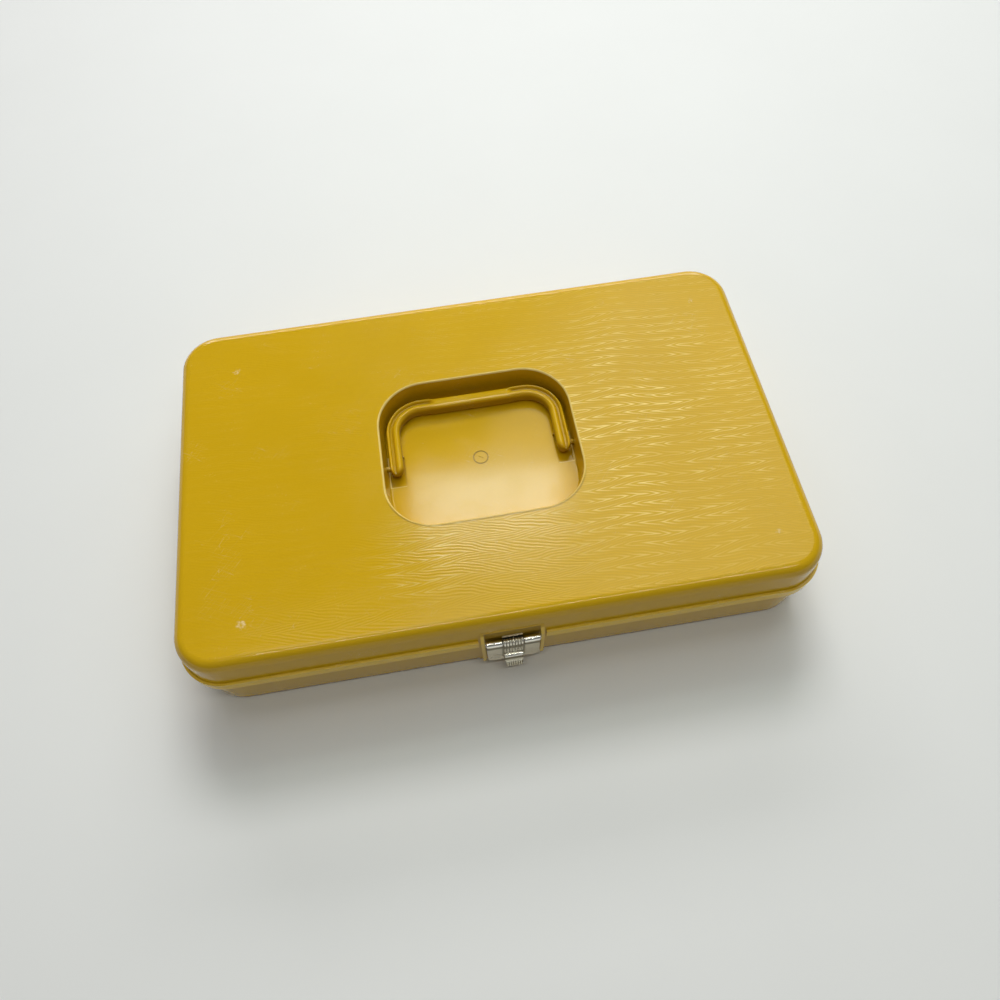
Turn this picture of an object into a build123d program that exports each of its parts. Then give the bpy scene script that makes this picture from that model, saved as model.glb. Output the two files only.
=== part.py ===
from build123d import *
from math import atan2, degrees
import os

# A flat moulded-plastic sewing box that opens like a book: two shallow shells hinged at the
# back, a folding handle in a well in the lid, a plated snap hasp in front and a lift-out tray.
# Millimetres. X runs to the right, Y to the rear, Z up. The origin is the middle of the
# underside, so the box stands on z = 0.

# Overall proportions of the two shells
lid_length = 312.0
lid_width = 196.0
corner_radius = 19.7
base_height = 36.0
lid_height = 21.0
wall = 2.2
panel = 2.2

# Draft of the walls: how far each outline grows beyond the outline of the lid's top
lid_foot_spread = 1.45
base_top_spread = 1.45
base_foot_inset = 0.9
top_edge_radius = 5.7
inner_edge_radius = 3.0
base_edge_radius = 6.0

# The rim where the shells meet: an outward bead on both, and a tongue inside it
rim_overhang = 1.45
lid_rim_height = 3.4
base_rim_height = 3.2
rim_shoulder_radius = 0.4
rim_foot_radius = 0.4
seam_edge_radius = 0.25
tongue_thickness = 1.25
tongue_height = 2.5
tongue_side_gap = 0.3
tongue_top_gap = 0.35

# The well for the handle, sunk in the middle of the lid
well_length = 102.0
well_width = 86.0
well_corner_radius = 25.0
well_depth = 15.0
well_draft = 1.4
well_wall = 2.0
well_mouth_radius = 1.0
well_floor_radius = 0.8
gate_ring_radius = 4.1
gate_ring_width = 0.5
gate_ring_depth = 0.3
gate_notch_length = 3.2
gate_notch_angle = -35.0

# The handle: a bail with a straight grip between two bends
handle_pivot_y = -1.5
handle_rear_gap = 4.6
handle_thickness = 7.4
handle_floor_gap = 0.35
handle_side_gap = 2.6
handle_bend_radius = 20.0
leg_width = 7.4
leg_spine_width = 3.9
leg_flange_width = 2.1
leg_web_thickness = 3.4
grip_width = 6.4
grip_half_length = 20.0
grip_bevel = 1.3
leg_tip_length = 5.5
handle_pin_radius = 2.0
handle_pin_end = 1.4
handle_boss_radius = 2.4
running_gap = 0.05
handle_wall_gap = 0.45
pocket_half_length = 9.1
pocket_width = 8.2
pocket_depth = 1.7
pocket_floor = 1.2

# The two moulded hinges at the back, each three knuckles on a steel pin
hinge_end_distance = 61.0
hinge_pin_radius = 1.25
knuckle_radius = 3.5
knuckle_rim_gap = 0.6
knuckle_end_gap = 0.3
lid_knuckle_length = 18.0
base_knuckle_length = 12.0
hinge_pin_overhang = 0.6
hinge_arm_root = 1.2

# The moulded surround of the latch: a frame on the lid, two ears on the base
surround_width = 31.0
surround_rail = 1.7
surround_top = 46.8
surround_top_rail = 0.8
surround_proud_top = 0.95
surround_side_gap = 1.1
surround_proud_rim = 0.7
surround_proud_foot = 2.9
surround_foot = 9.0
recess_depth = 1.5
recess_top_depth = 0.6
recess_slope_foot = 41.0
latch_pad_half_width = 17.0
latch_pad_thickness = 1.6

# The stamped latch, folded from thin plated sheet
sheet = 0.8
plate_gap = 0.3
hasp_axis_z = 38.5
hasp_roll_radius = 1.7
hasp_pin_radius = 0.8
hasp_width = 26.4
leaf_width = 9.8
leaf_top = 40.4
leaf_foot_length = 8.0
leaf_slot_gap = 0.15
hasp_knuckle_gap = 0.2
hasp_pin_overhang = 0.2
hasp_bottom = 12.5
hasp_corner_radius = 2.2
hasp_column_width = 10.6
hasp_column_proud = 0.45
hasp_column_top = 35.6
hasp_column_foot = 16.6
rib_count = 7
rib_pitch = 1.4
rib_radius = 0.42
roll_rib_proud = 0.32
column_rib_top = 31.2
column_rib_foot = 24.6
lip_length = 9.2
lip_radius = 0.85
lip_z = 20.6
slot_height = 1.1
slot_drop = 1.55
tab_top = 17.0
tab_foot = 9.6
tab_reach = 3.9
tab_top_width = 10.8
tab_foot_width = 8.6
tab_rib_length = 2.4
keeper_width = 21.0
keeper_top = 29.0
keeper_foot = 13.5
keeper_corner_radius = 2.0
keeper_bead_radius = 0.75
rivet_offset = 7.2
rivet_shank_radius = 1.1
rivet_head_radius = 2.0
rivet_head_height = 0.5
bead_rivet_gap = 0.6
rivet_hole_gap = 0.05
washer_radius = 3.0
washer_thickness = 0.6
leaf_screw_rise = 4.6
screw_shank_radius = 0.9
screw_length = 3.2
screw_head_radius = 1.8
screw_head_height = 0.9
screw_slot_width = 0.5
screw_slot_depth = 0.35

# The lift-out tray and what carries it
tray_rest_z = 15.0
tray_height = 18.5
tray_wall_inset = 7.0
tray_draft = 0.8
tray_lip_reach = 2.8
tray_lip_thickness = 1.5
tray_sheet = 1.6
tray_edge_radius = 2.0
tray_side_bay_width = 86.0
tray_front_bay_width = 58.0
divider_thickness = 1.6
divider_height = 14.5
peg_columns = 5
peg_rows = 3
peg_pitch_x = 38.0
peg_pitch_y = 35.0
peg_radius = 2.3
peg_tip_radius = 1.6
peg_height = 13.0
support_rib_thickness = 2.0
support_rib_reach = 13.0
support_rib_offset_x = 84.0
support_rib_offset_y = 44.0

# Heights and depths that follow from the sizes above
box_height = base_height + lid_height
seam_z = base_height
shelf_z = seam_z + lid_rim_height
base_rim_z = seam_z - base_rim_height
well_floor_z = box_height - well_depth
front_y = -lid_width / 2
rear_y = lid_width / 2
rim_spread = lid_foot_spread + rim_overhang
hinge_offset = lid_length / 2 - hinge_end_distance
lid_slope = lid_foot_spread / (box_height - shelf_z)
base_slope = (base_top_spread + base_foot_inset) / base_rim_z
tongue_inner_spread = base_top_spread - wall
tongue_outer_spread = tongue_inner_spread + tongue_thickness
hinge_axis_y = rear_y + rim_spread + knuckle_rim_gap + knuckle_radius
handle_pivot_z = well_floor_z + handle_floor_gap + handle_thickness / 2
handle_half_span = well_length / 2 - handle_side_gap
handle_reach = well_width / 2 - handle_rear_gap - handle_pivot_y
recess_y = front_y - recess_depth
plate_front_y = recess_y - sheet
hasp_axis_y = plate_front_y - plate_gap - hasp_roll_radius
hasp_back_y = plate_front_y - plate_gap - lip_radius
hasp_front_y = hasp_back_y - sheet
pad_y = front_y + wall + latch_pad_thickness


def lid_spread(z):
    """Growth of the lid's outer wall beyond the top outline at height z."""
    return lid_slope * (box_height - z)


def base_spread(z):
    """Growth of the base's outer wall beyond the lid's top outline at height z."""
    return base_slope * z - base_foot_inset


def outline(z, spread):
    """The box's rounded rectangle at height z, grown by spread on every side."""
    shape = RectangleRounded(lid_length + 2 * spread, lid_width + 2 * spread, corner_radius + spread)
    return Pos(0, 0, z) * shape


def well_outline(z, spread):
    """The handle well's rounded rectangle at height z, grown by spread on every side."""
    shape = RectangleRounded(
        well_length + 2 * spread, well_width + 2 * spread, well_corner_radius + spread
    )
    return Pos(0, 0, z) * shape


def drafted(low, high):
    """The solid between two outlines, with straight drafted sides."""
    return loft([low, high], ruled=True)


def block(x_low, x_high, y_low, y_high, z_low, z_high):
    """A box given by its limits along each axis."""
    size = Box(x_high - x_low, y_high - y_low, z_high - z_low)
    return Pos((x_low + x_high) / 2, (y_low + y_high) / 2, (z_low + z_high) / 2) * size


def rod_x(x_low, x_high, y, z, radius):
    """A round rod along X between two x values."""
    rod = Rot(0, 90, 0) * Cylinder(radius, x_high - x_low)
    return Pos((x_low + x_high) / 2, y, z) * rod


def rod_y(x, y_low, y_high, z, radius):
    """A round rod along Y between two y values."""
    rod = Rot(90, 0, 0) * Cylinder(radius, y_high - y_low)
    return Pos(x, (y_low + y_high) / 2, z) * rod


def side_profile(points, half_width):
    """A closed outline of (y, z) points, extruded to both sides of x = 0."""
    face = make_face(Polyline(*[(0, y, z) for y, z in points], close=True))
    return extrude(face, amount=half_width, dir=(1, 0, 0), both=True)


def edges_at_height(shape, z):
    """Edges that lie in the level plane at height z."""
    return shape.edges().filter_by_position(Axis.Z, z - 0.01, z + 0.01)


def hinge_spans(side):
    """The x limits of the lid's knuckle and of the base's two knuckles on one side."""
    centre = side * hinge_offset
    half = lid_knuckle_length / 2
    inner = half + knuckle_end_gap
    outer = inner + base_knuckle_length
    lid_span = (centre - half, centre + half)
    base_spans = [(centre - outer, centre - inner), (centre + inner, centre + outer)]
    return lid_span, base_spans


def knuckle(span, arm_low, arm_high):
    """One hinge knuckle with the arm that joins it to the rim, without its bore."""
    barrel = rod_x(span[0], span[1], hinge_axis_y, seam_z, knuckle_radius)
    arm_front = rear_y + rim_spread - hinge_arm_root
    arm = block(span[0], span[1], arm_front, hinge_axis_y, arm_low, arm_high)
    return barrel + arm


def pin_bore(side):
    """The bore through all three knuckles of one hinge."""
    lid_span, base_spans = hinge_spans(side)
    x_low = base_spans[0][0] - 1
    x_high = base_spans[1][1] + 1
    return rod_x(x_low, x_high, hinge_axis_y, seam_z, hinge_pin_radius + running_gap)


def rim_gap(side, z_low, z_high):
    """The short gap in the rim between its bead and the latch's surround."""
    edge = surround_width / 2
    x_ends = sorted((side * edge, side * (edge + surround_side_gap)))
    return block(
        x_ends[0], x_ends[1], front_y - rim_spread - 1, front_y - base_top_spread, z_low, z_high
    )


def build_lid():
    """The upper shell: panel, walls, rim, handle well, latch surround and hinge knuckles."""
    outer = drafted(outline(seam_z, lid_spread(seam_z)), outline(box_height, 0))
    outer = fillet(edges_at_height(outer, box_height), top_edge_radius)
    rim = extrude(outline(seam_z, rim_spread), amount=lid_rim_height)
    rim = fillet(edges_at_height(rim, shelf_z), rim_shoulder_radius)
    rim = fillet(edges_at_height(rim, seam_z), seam_edge_radius)
    shell = outer + rim

    for side in (-1, 1):
        lid_span, base_spans = hinge_spans(side)
        shell += knuckle(lid_span, seam_z, shelf_z)

    surround = side_profile(
        [
            (front_y + wall, seam_z),
            (front_y - rim_spread - surround_proud_rim, seam_z),
            (front_y - rim_spread - surround_proud_rim, shelf_z),
            (front_y - surround_proud_top, surround_top),
            (front_y + wall, surround_top),
        ],
        surround_width / 2,
    )
    shell += surround

    ceiling_z = box_height - panel
    cavity = drafted(
        outline(seam_z, lid_spread(seam_z) - wall), outline(ceiling_z, lid_spread(ceiling_z) - wall)
    )
    cavity = fillet(edges_at_height(cavity, ceiling_z), inner_edge_radius)
    rebate_spread = tongue_outer_spread + tongue_side_gap
    rebate = extrude(outline(seam_z, rebate_spread), amount=tongue_height + tongue_top_gap)
    shell = shell - cavity - rebate

    recess_half = surround_width / 2 - surround_rail
    recess_top = surround_top - surround_top_rail
    recess_front = front_y - rim_spread - surround_proud_rim - 1
    shell -= side_profile(
        [
            (recess_front, seam_z - 1),
            (recess_y, seam_z - 1),
            (recess_y, recess_slope_foot),
            (front_y - recess_top_depth, recess_top),
            (recess_front, recess_top),
        ],
        recess_half,
    )
    for side in (-1, 1):
        shell -= rim_gap(side, seam_z - 1, shelf_z + 1)
    shell += block(
        -latch_pad_half_width,
        latch_pad_half_width,
        front_y + wall / 2,
        pad_y,
        seam_z + tongue_height + tongue_top_gap + 1,
        ceiling_z,
    )

    pan_floor_z = well_floor_z - panel
    pan = drafted(
        well_outline(pan_floor_z, well_wall - well_draft), well_outline(ceiling_z, well_wall)
    )
    pan = fillet(edges_at_height(pan, pan_floor_z), well_wall)
    well = drafted(well_outline(well_floor_z, -well_draft), well_outline(box_height, 0))
    well = fillet(edges_at_height(well, well_floor_z), well_floor_radius)
    shell = shell + pan

    pocket_z = well_floor_z - pocket_depth
    pocket_outer = well_length / 2 - well_draft - well_floor_radius
    for side in (-1, 1):
        x_low = min(side * pocket_outer, side * (pocket_outer - pocket_width))
        pocket_bump = block(
            x_low - pocket_floor,
            x_low + pocket_width + pocket_floor,
            handle_pivot_y - pocket_half_length - pocket_floor,
            handle_pivot_y + pocket_half_length + pocket_floor,
            pocket_z - pocket_floor,
            well_floor_z - panel / 2,
        )
        shell += pocket_bump
    shell -= well
    shell = fillet(well_mouth_edges(shell), well_mouth_radius)
    for side in (-1, 1):
        x_low = min(side * pocket_outer, side * (pocket_outer - pocket_width))
        shell -= block(
            x_low,
            x_low + pocket_width,
            handle_pivot_y - pocket_half_length,
            handle_pivot_y + pocket_half_length,
            pocket_z,
            well_floor_z + 1,
        )

    pin_hole_reach = well_length / 2 + well_wall + 1
    pin_hole_radius = handle_pin_radius + running_gap
    for side in (-1, 1):
        x_ends = sorted((side * (handle_half_span - 1), side * pin_hole_reach))
        shell -= rod_x(x_ends[0], x_ends[1], handle_pivot_y, handle_pivot_z, pin_hole_radius)
        shell -= pin_bore(side)

    ring = Cylinder(gate_ring_radius, 2 * gate_ring_depth)
    ring -= Cylinder(gate_ring_radius - gate_ring_width, 2 * gate_ring_depth)
    shell -= Pos(0, 0, well_floor_z) * ring
    notch = Box(gate_notch_length, gate_ring_width, 2 * gate_ring_depth)
    shell -= Pos(0, 0, well_floor_z) * Rot(0, 0, gate_notch_angle) * notch

    slot_half = leaf_width / 2 + leaf_slot_gap
    shell -= block(
        -slot_half,
        slot_half,
        recess_y - 1,
        pad_y + 1,
        leaf_top - sheet - leaf_slot_gap,
        leaf_top + leaf_slot_gap,
    )
    for side in (-1, 1):
        shell -= rod_y(
            side * leaf_width / 4,
            pad_y - screw_length - rivet_hole_gap,
            pad_y + 1,
            leaf_top + leaf_screw_rise,
            screw_shank_radius + rivet_hole_gap,
        )
    return shell


def well_mouth_edges(shell):
    """The edges round the mouth of the well, in the plane of the lid's top."""
    reach_x = well_length / 2 + 1
    reach_y = well_width / 2 + 1
    level = edges_at_height(shell, box_height)
    inside = [e for e in level if abs(e.center().X) < reach_x and abs(e.center().Y) < reach_y]
    return inside


def build_base():
    """The lower shell: floor, walls, rim, tongue, tray supports, latch ears and knuckles."""
    outer = drafted(outline(0, base_spread(0)), outline(seam_z, base_spread(seam_z)))
    outer = fillet(edges_at_height(outer, 0), base_edge_radius)
    rim = extrude(outline(base_rim_z, rim_spread), amount=base_rim_height)
    rim = fillet(edges_at_height(rim, base_rim_z), rim_foot_radius)
    rim = fillet(edges_at_height(rim, seam_z), seam_edge_radius)
    shell = outer + rim
    shell += extrude(outline(seam_z, tongue_outer_spread), amount=tongue_height)

    for side in (-1, 1):
        lid_span, base_spans = hinge_spans(side)
        for span in base_spans:
            shell += knuckle(span, base_rim_z, seam_z)

    foot_y = front_y - base_spread(surround_foot) - surround_proud_foot
    ears = side_profile(
        [
            (front_y + wall, seam_z),
            (front_y - rim_spread - surround_proud_rim, seam_z),
            (front_y - rim_spread - surround_proud_rim, base_rim_z),
            (foot_y, surround_foot),
            (front_y + wall, surround_foot),
        ],
        surround_width / 2,
    )
    shell += ears

    cavity = drafted(
        outline(panel, base_spread(panel) - wall), outline(base_rim_z, tongue_inner_spread)
    )
    cavity = fillet(edges_at_height(cavity, panel), base_edge_radius - wall)
    throat = extrude(outline(base_rim_z, tongue_inner_spread), amount=base_rim_height + tongue_height)
    shell = shell - cavity - throat

    recess_half = surround_width / 2 - surround_rail
    recess_front = front_y - rim_spread - surround_proud_rim - 1
    shell -= block(-recess_half, recess_half, recess_front, recess_y, surround_foot - 1, seam_z)
    for side in (-1, 1):
        shell -= rim_gap(side, base_rim_z - 1, seam_z)
    shell += block(
        -latch_pad_half_width,
        latch_pad_half_width,
        front_y + wall / 2,
        pad_y,
        panel / 2,
        base_rim_z,
    )

    for x, y, along_x in support_places():
        shell += support_rib(x, y, along_x) & outer

    for side in (-1, 1):
        shell -= pin_bore(side)
        shell -= rod_y(
            side * rivet_offset,
            recess_y - 1,
            pad_y + 1,
            (keeper_top + keeper_foot) / 2,
            rivet_shank_radius + rivet_hole_gap,
        )
    return shell


def support_places():
    """Where the ribs stand that carry the tray: two on each wall."""
    places = []
    for side in (-1, 1):
        for offset in (-support_rib_offset_x, support_rib_offset_x):
            places.append((offset, side * lid_width / 2, False))
        for offset in (-support_rib_offset_y, support_rib_offset_y):
            places.append((side * lid_length / 2, offset, True))
    return places


def support_rib(x, y, along_x):
    """A low upright rib that reaches from the wall in under the tray."""
    half = support_rib_thickness / 2
    if along_x:
        x_ends = sorted((x, x - (1 if x > 0 else -1) * support_rib_reach))
        return block(x_ends[0], x_ends[1], y - half, y + half, panel / 2, tray_rest_z)
    y_ends = sorted((y, y - (1 if y > 0 else -1) * support_rib_reach))
    return block(x - half, x + half, y_ends[0], y_ends[1], panel / 2, tray_rest_z)


def bail_path(inset):
    """The bail's line, seen from above, at a distance inside its outer edge."""
    half = handle_half_span - inset
    rear = handle_pivot_y + handle_reach - inset
    radius = handle_bend_radius - inset
    left_leg = Line((-half, handle_pivot_y), (-half, rear - radius))
    left_bend = RadiusArc((-half, rear - radius), (-half + radius, rear), radius)
    bar = Line((-half + radius, rear), (half - radius, rear))
    right_bend = RadiusArc((half - radius, rear), (half, rear - radius), radius)
    right_leg = Line((half, rear - radius), (half, handle_pivot_y))
    return Wire([left_leg, left_bend, bar, right_bend, right_leg])


def bail_band(outer_inset, inner_inset, thickness):
    """A band of the bail between two insets, centred on the pivot's height."""
    outer = bail_path(outer_inset)
    inner = bail_path(inner_inset)
    left_end = Line((-handle_half_span + outer_inset, handle_pivot_y),
                    (-handle_half_span + inner_inset, handle_pivot_y))
    right_end = Line((handle_half_span - outer_inset, handle_pivot_y),
                     (handle_half_span - inner_inset, handle_pivot_y))
    face = make_face(Wire(outer.edges() + left_end.edges() + inner.edges() + right_end.edges()))
    band = extrude(Pos(0, 0, handle_pivot_z - thickness / 2) * face, amount=thickness)
    return band


def leg_end(side, outer_inset, inner_inset, thickness):
    """The pointed end of a leg, beyond the pivot."""
    x_outer = side * (handle_half_span - outer_inset)
    x_inner = side * (handle_half_span - inner_inset)
    tip_y = handle_pivot_y - leg_tip_length
    x_middle = (x_outer + x_inner) / 2
    shoulder_y = handle_pivot_y - leg_tip_length / 2
    nose = rod_x(
        min(x_outer, x_inner), max(x_outer, x_inner), handle_pivot_y, handle_pivot_z, leg_tip_length
    )
    face = make_face(
        Polyline(
            (x_outer, handle_pivot_y),
            (x_outer, shoulder_y),
            (x_middle, tip_y),
            (x_inner, shoulder_y),
            (x_inner, handle_pivot_y),
            close=True,
        )
    )
    end = extrude(Pos(0, 0, handle_pivot_z - thickness / 2) * face, amount=thickness)
    return end & nose


def build_handle():
    """The one-piece bail: flanged legs and bends, a bevelled grip and two pivot pins."""
    spine = bail_band(leg_width - leg_spine_width, leg_width, handle_thickness)
    flange = bail_band(0, leg_flange_width, handle_thickness - 1.0)
    web = bail_band(leg_flange_width / 2, leg_width - leg_spine_width / 2, leg_web_thickness)
    for side in (-1, 1):
        spine += leg_end(side, leg_width - leg_spine_width, leg_width, handle_thickness)
        flange += leg_end(side, 0, leg_flange_width, handle_thickness - 1.0)
        web += leg_end(side, 0, leg_width, leg_web_thickness)
    rear = handle_pivot_y + handle_reach
    cut_half = grip_half_length
    flange -= block(-cut_half, cut_half, rear - leg_flange_width - 1, rear + 1, 0, box_height)
    handle = spine + flange + web
    grip_rear = rear - (leg_width - grip_width)
    grip_front = rear - leg_width
    half = handle_thickness / 2
    grip_face = make_face(
        Polyline(
            (0, grip_rear, handle_pivot_z + half - grip_bevel),
            (0, grip_rear - grip_bevel, handle_pivot_z + half),
            (0, grip_front + grip_bevel, handle_pivot_z + half),
            (0, grip_front, handle_pivot_z + half - grip_bevel),
            (0, grip_front, handle_pivot_z - half + grip_bevel),
            (0, grip_front + grip_bevel, handle_pivot_z - half),
            (0, grip_rear - grip_bevel, handle_pivot_z - half),
            (0, grip_rear, handle_pivot_z - half + grip_bevel),
            close=True,
        )
    )
    straight = handle_half_span - handle_bend_radius
    handle += extrude(grip_face, amount=straight, dir=(1, 0, 0), both=True)

    wall_x = well_length / 2 - well_draft * (box_height - handle_pivot_z) / well_depth
    pin_end_x = wall_x + well_wall + handle_pin_end
    for side in (-1, 1):
        boss_ends = sorted((side * (handle_half_span - leg_width), side * (wall_x - handle_wall_gap)))
        handle += rod_x(boss_ends[0], boss_ends[1], handle_pivot_y, handle_pivot_z, handle_boss_radius)
        pin_ends = sorted((side * (handle_half_span - 1), side * pin_end_x))
        handle += rod_x(pin_ends[0], pin_ends[1], handle_pivot_y, handle_pivot_z, handle_pin_radius)
    return handle


def build_hinge_pin(side):
    """One steel hinge pin, a little longer than its three knuckles."""
    lid_span, base_spans = hinge_spans(side)
    x_low = base_spans[0][0] - hinge_pin_overhang
    x_high = base_spans[1][1] + hinge_pin_overhang
    return rod_x(x_low, x_high, hinge_axis_y, seam_z, hinge_pin_radius)


def ribbed_rods(z_low, z_high, y, radius):
    """The row of upright ribs pressed in the middle of the latch."""
    ribs = []
    first_x = -rib_pitch * (rib_count - 1) / 2
    for index in range(rib_count):
        x = first_x + index * rib_pitch
        rod = Pos(x, y, (z_low + z_high) / 2) * Cylinder(radius, z_high - z_low)
        ribs.append(rod)
    return ribs


def build_leaf():
    """The lid's half of the hasp hinge: rolled round the pin, up the recess, through the wall."""
    half = leaf_width / 2
    roll_foot_z = hasp_axis_z - hasp_roll_radius
    roll = rod_x(-half, half, hasp_axis_y, hasp_axis_z, hasp_roll_radius)
    neck = block(-half, half, hasp_axis_y, recess_y, roll_foot_z, roll_foot_z + sheet)
    plate = block(-half, half, plate_front_y, recess_y, roll_foot_z, leaf_top)
    strap = block(-half, half, plate_front_y, pad_y + sheet, leaf_top - sheet, leaf_top)
    foot = block(-half, half, pad_y, pad_y + sheet, leaf_top - sheet, leaf_top + leaf_foot_length)
    rib_centre = hasp_roll_radius + roll_rib_proud - rib_radius
    leaf = roll + neck + plate + strap + foot
    first_x = -rib_pitch * (rib_count - 1) / 2
    for index in range(rib_count):
        x = first_x + index * rib_pitch
        ring = Rot(0, 90, 0) * Torus(rib_centre, rib_radius)
        leaf += Pos(x, hasp_axis_y, hasp_axis_z) * ring
    leaf -= rod_x(-half - 1, half + 1, hasp_axis_y, hasp_axis_z, hasp_pin_radius + running_gap)
    for side in (-1, 1):
        leaf -= rod_y(
            side * leaf_width / 4,
            pad_y - 1,
            pad_y + sheet + 1,
            leaf_top + leaf_screw_rise,
            screw_shank_radius + rivet_hole_gap,
        )
    return leaf


def leaf_screw(x, z):
    """A slotted screw driven from inside the lid through the leaf's foot into the pad."""
    under_head_y = pad_y + sheet
    head_y = under_head_y + screw_head_height
    shank = rod_y(x, pad_y - screw_length, under_head_y, z, screw_shank_radius)
    head = rod_y(x, under_head_y, head_y, z, screw_head_radius)
    head = fillet(
        head.edges().filter_by(GeomType.CIRCLE).sort_by(Axis.Y)[-1:], screw_head_height / 2
    )
    half_slot = screw_slot_width / 2
    slot = block(
        x - screw_head_radius,
        x + screw_head_radius,
        head_y - screw_slot_depth,
        head_y + 1,
        z - half_slot,
        z + half_slot,
    )
    return shank + head - slot


def build_hasp():
    """The swinging half of the latch: rolled top, plate with a ribbed column, lip and tab."""
    half = hasp_width / 2
    inner = leaf_width / 2 + hasp_knuckle_gap
    plate_face = make_face(
        Polyline(
            (-half, hasp_axis_z),
            (-half, hasp_bottom),
            (half, hasp_bottom),
            (half, hasp_axis_z),
            close=True,
        )
    )
    plate_face = fillet(plate_face.vertices().sort_by(Axis.Y)[:2], hasp_corner_radius)
    plate = extrude(
        Plane(origin=(0, hasp_back_y, 0), x_dir=(1, 0, 0), z_dir=(0, -1, 0)) * plate_face,
        amount=sheet,
    )
    hasp = plate
    gap_top = hasp_axis_z + 1
    gap_foot = hasp_axis_z - hasp_roll_radius - roll_rib_proud - hasp_knuckle_gap
    hasp -= block(-inner, inner, hasp_front_y - 1, hasp_back_y + 1, gap_foot, gap_top)
    for side in (-1, 1):
        ends = sorted((side * inner, side * half))
        hasp += rod_x(ends[0], ends[1], hasp_axis_y, hasp_axis_z, hasp_roll_radius)

    column_y = hasp_front_y - hasp_column_proud
    column_half = hasp_column_width / 2
    column = block(
        -column_half, column_half, column_y, hasp_back_y, hasp_column_foot, hasp_column_top
    )
    hasp += column
    for rib in ribbed_rods(column_rib_foot, column_rib_top, column_y, rib_radius):
        hasp += rib
    lip_half = lip_length / 2
    hasp += rod_x(-lip_half, lip_half, column_y - lip_radius / 3, lip_z, lip_radius)
    hasp -= block(
        -lip_half,
        lip_half,
        hasp_front_y - lip_radius - 1,
        hasp_back_y + 1,
        lip_z - slot_drop - slot_height / 2,
        lip_z - slot_drop + slot_height / 2,
    )
    tab = side_profile(
        [
            (hasp_back_y, tab_top),
            (hasp_front_y, tab_top),
            (hasp_front_y - tab_reach, tab_foot),
            (hasp_front_y - tab_reach + sheet, tab_foot - sheet / 3),
            (hasp_back_y, tab_top - 2 * sheet),
        ],
        tab_top_width / 2,
    )
    tab_trim = make_face(
        Polyline(
            (-tab_top_width / 2, tab_top),
            (tab_top_width / 2, tab_top),
            (tab_foot_width / 2, tab_foot - sheet),
            (-tab_foot_width / 2, tab_foot - sheet),
            close=True,
        )
    )
    trim = extrude(
        Plane(origin=(0, hasp_back_y + 1, 0), x_dir=(1, 0, 0), z_dir=(0, -1, 0)) * tab_trim,
        amount=tab_reach + sheet + 3,
    )
    hasp += tab & trim
    fall = tab_top - tab_foot
    tab_tilt = degrees(atan2(tab_reach, fall))
    rib_drop = tab_rib_length / 2 + sheet / 2
    run = (tab_reach ** 2 + fall ** 2) ** 0.5
    along = 1 - rib_drop / run
    rib_y = hasp_front_y - tab_reach * along
    rib_z = tab_top - fall * along
    first_x = -rib_pitch * (rib_count - 1) / 2 * tab_foot_width / tab_top_width
    step = rib_pitch * tab_foot_width / tab_top_width
    for index in range(rib_count):
        rod = Rot(-tab_tilt, 0, 0) * Cylinder(rib_radius, tab_rib_length)
        hasp += Pos(first_x + index * step, rib_y, rib_z) * rod
    hasp -= rod_x(-half - 1, half + 1, hasp_axis_y, hasp_axis_z, hasp_pin_radius + running_gap)
    return hasp


def build_hasp_pin():
    """The pin that the hasp swings on."""
    reach = hasp_width / 2 + hasp_pin_overhang
    return rod_x(-reach, reach, hasp_axis_y, hasp_axis_z, hasp_pin_radius)


def build_keeper():
    """The plate on the base that the hasp snaps over, with a pressed bead."""
    half = keeper_width / 2
    face = RectangleRounded(keeper_width, keeper_top - keeper_foot, keeper_corner_radius)
    middle_z = (keeper_top + keeper_foot) / 2
    keeper = extrude(
        Plane(origin=(0, recess_y, middle_z), x_dir=(1, 0, 0), z_dir=(0, -1, 0)) * face,
        amount=sheet,
    )
    bead_half = rivet_offset - rivet_head_radius - bead_rivet_gap
    bead = rod_x(-bead_half, bead_half, plate_front_y + sheet / 4, lip_z, keeper_bead_radius)
    keeper += bead & block(-half, half, plate_front_y - sheet, recess_y, keeper_foot, keeper_top)
    for side in (-1, 1):
        keeper -= rod_y(
            side * rivet_offset,
            plate_front_y - 1,
            recess_y + 1,
            middle_z,
            rivet_shank_radius + rivet_hole_gap,
        )
    return keeper


def rivet(x, z, front_y, back_y):
    """A rivet along Y: a low domed head in front, a shank, and a head clenched behind."""
    front_head = Rot(90, 0, 0) * Cylinder(rivet_head_radius, rivet_head_height)
    front_head = Pos(x, front_y - rivet_head_height / 2, z) * front_head
    front_head = fillet(
        front_head.edges().filter_by(GeomType.CIRCLE).sort_by(Axis.Y)[:1], rivet_head_height * 0.8
    )
    back_head = Rot(90, 0, 0) * Cylinder(rivet_head_radius, rivet_head_height)
    back_head = Pos(x, back_y + rivet_head_height / 2, z) * back_head
    shank = rod_y(x, front_y, back_y, z, rivet_shank_radius)
    return front_head + shank + back_head


def washer(x, z, y_low):
    """A flat washer along Y, whose front lies at y_low."""
    ring = rod_y(x, y_low, y_low + washer_thickness, z, washer_radius)
    ring -= rod_y(
        x, y_low - 1, y_low + washer_thickness + 1, z, rivet_shank_radius + rivet_hole_gap
    )
    return ring


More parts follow.
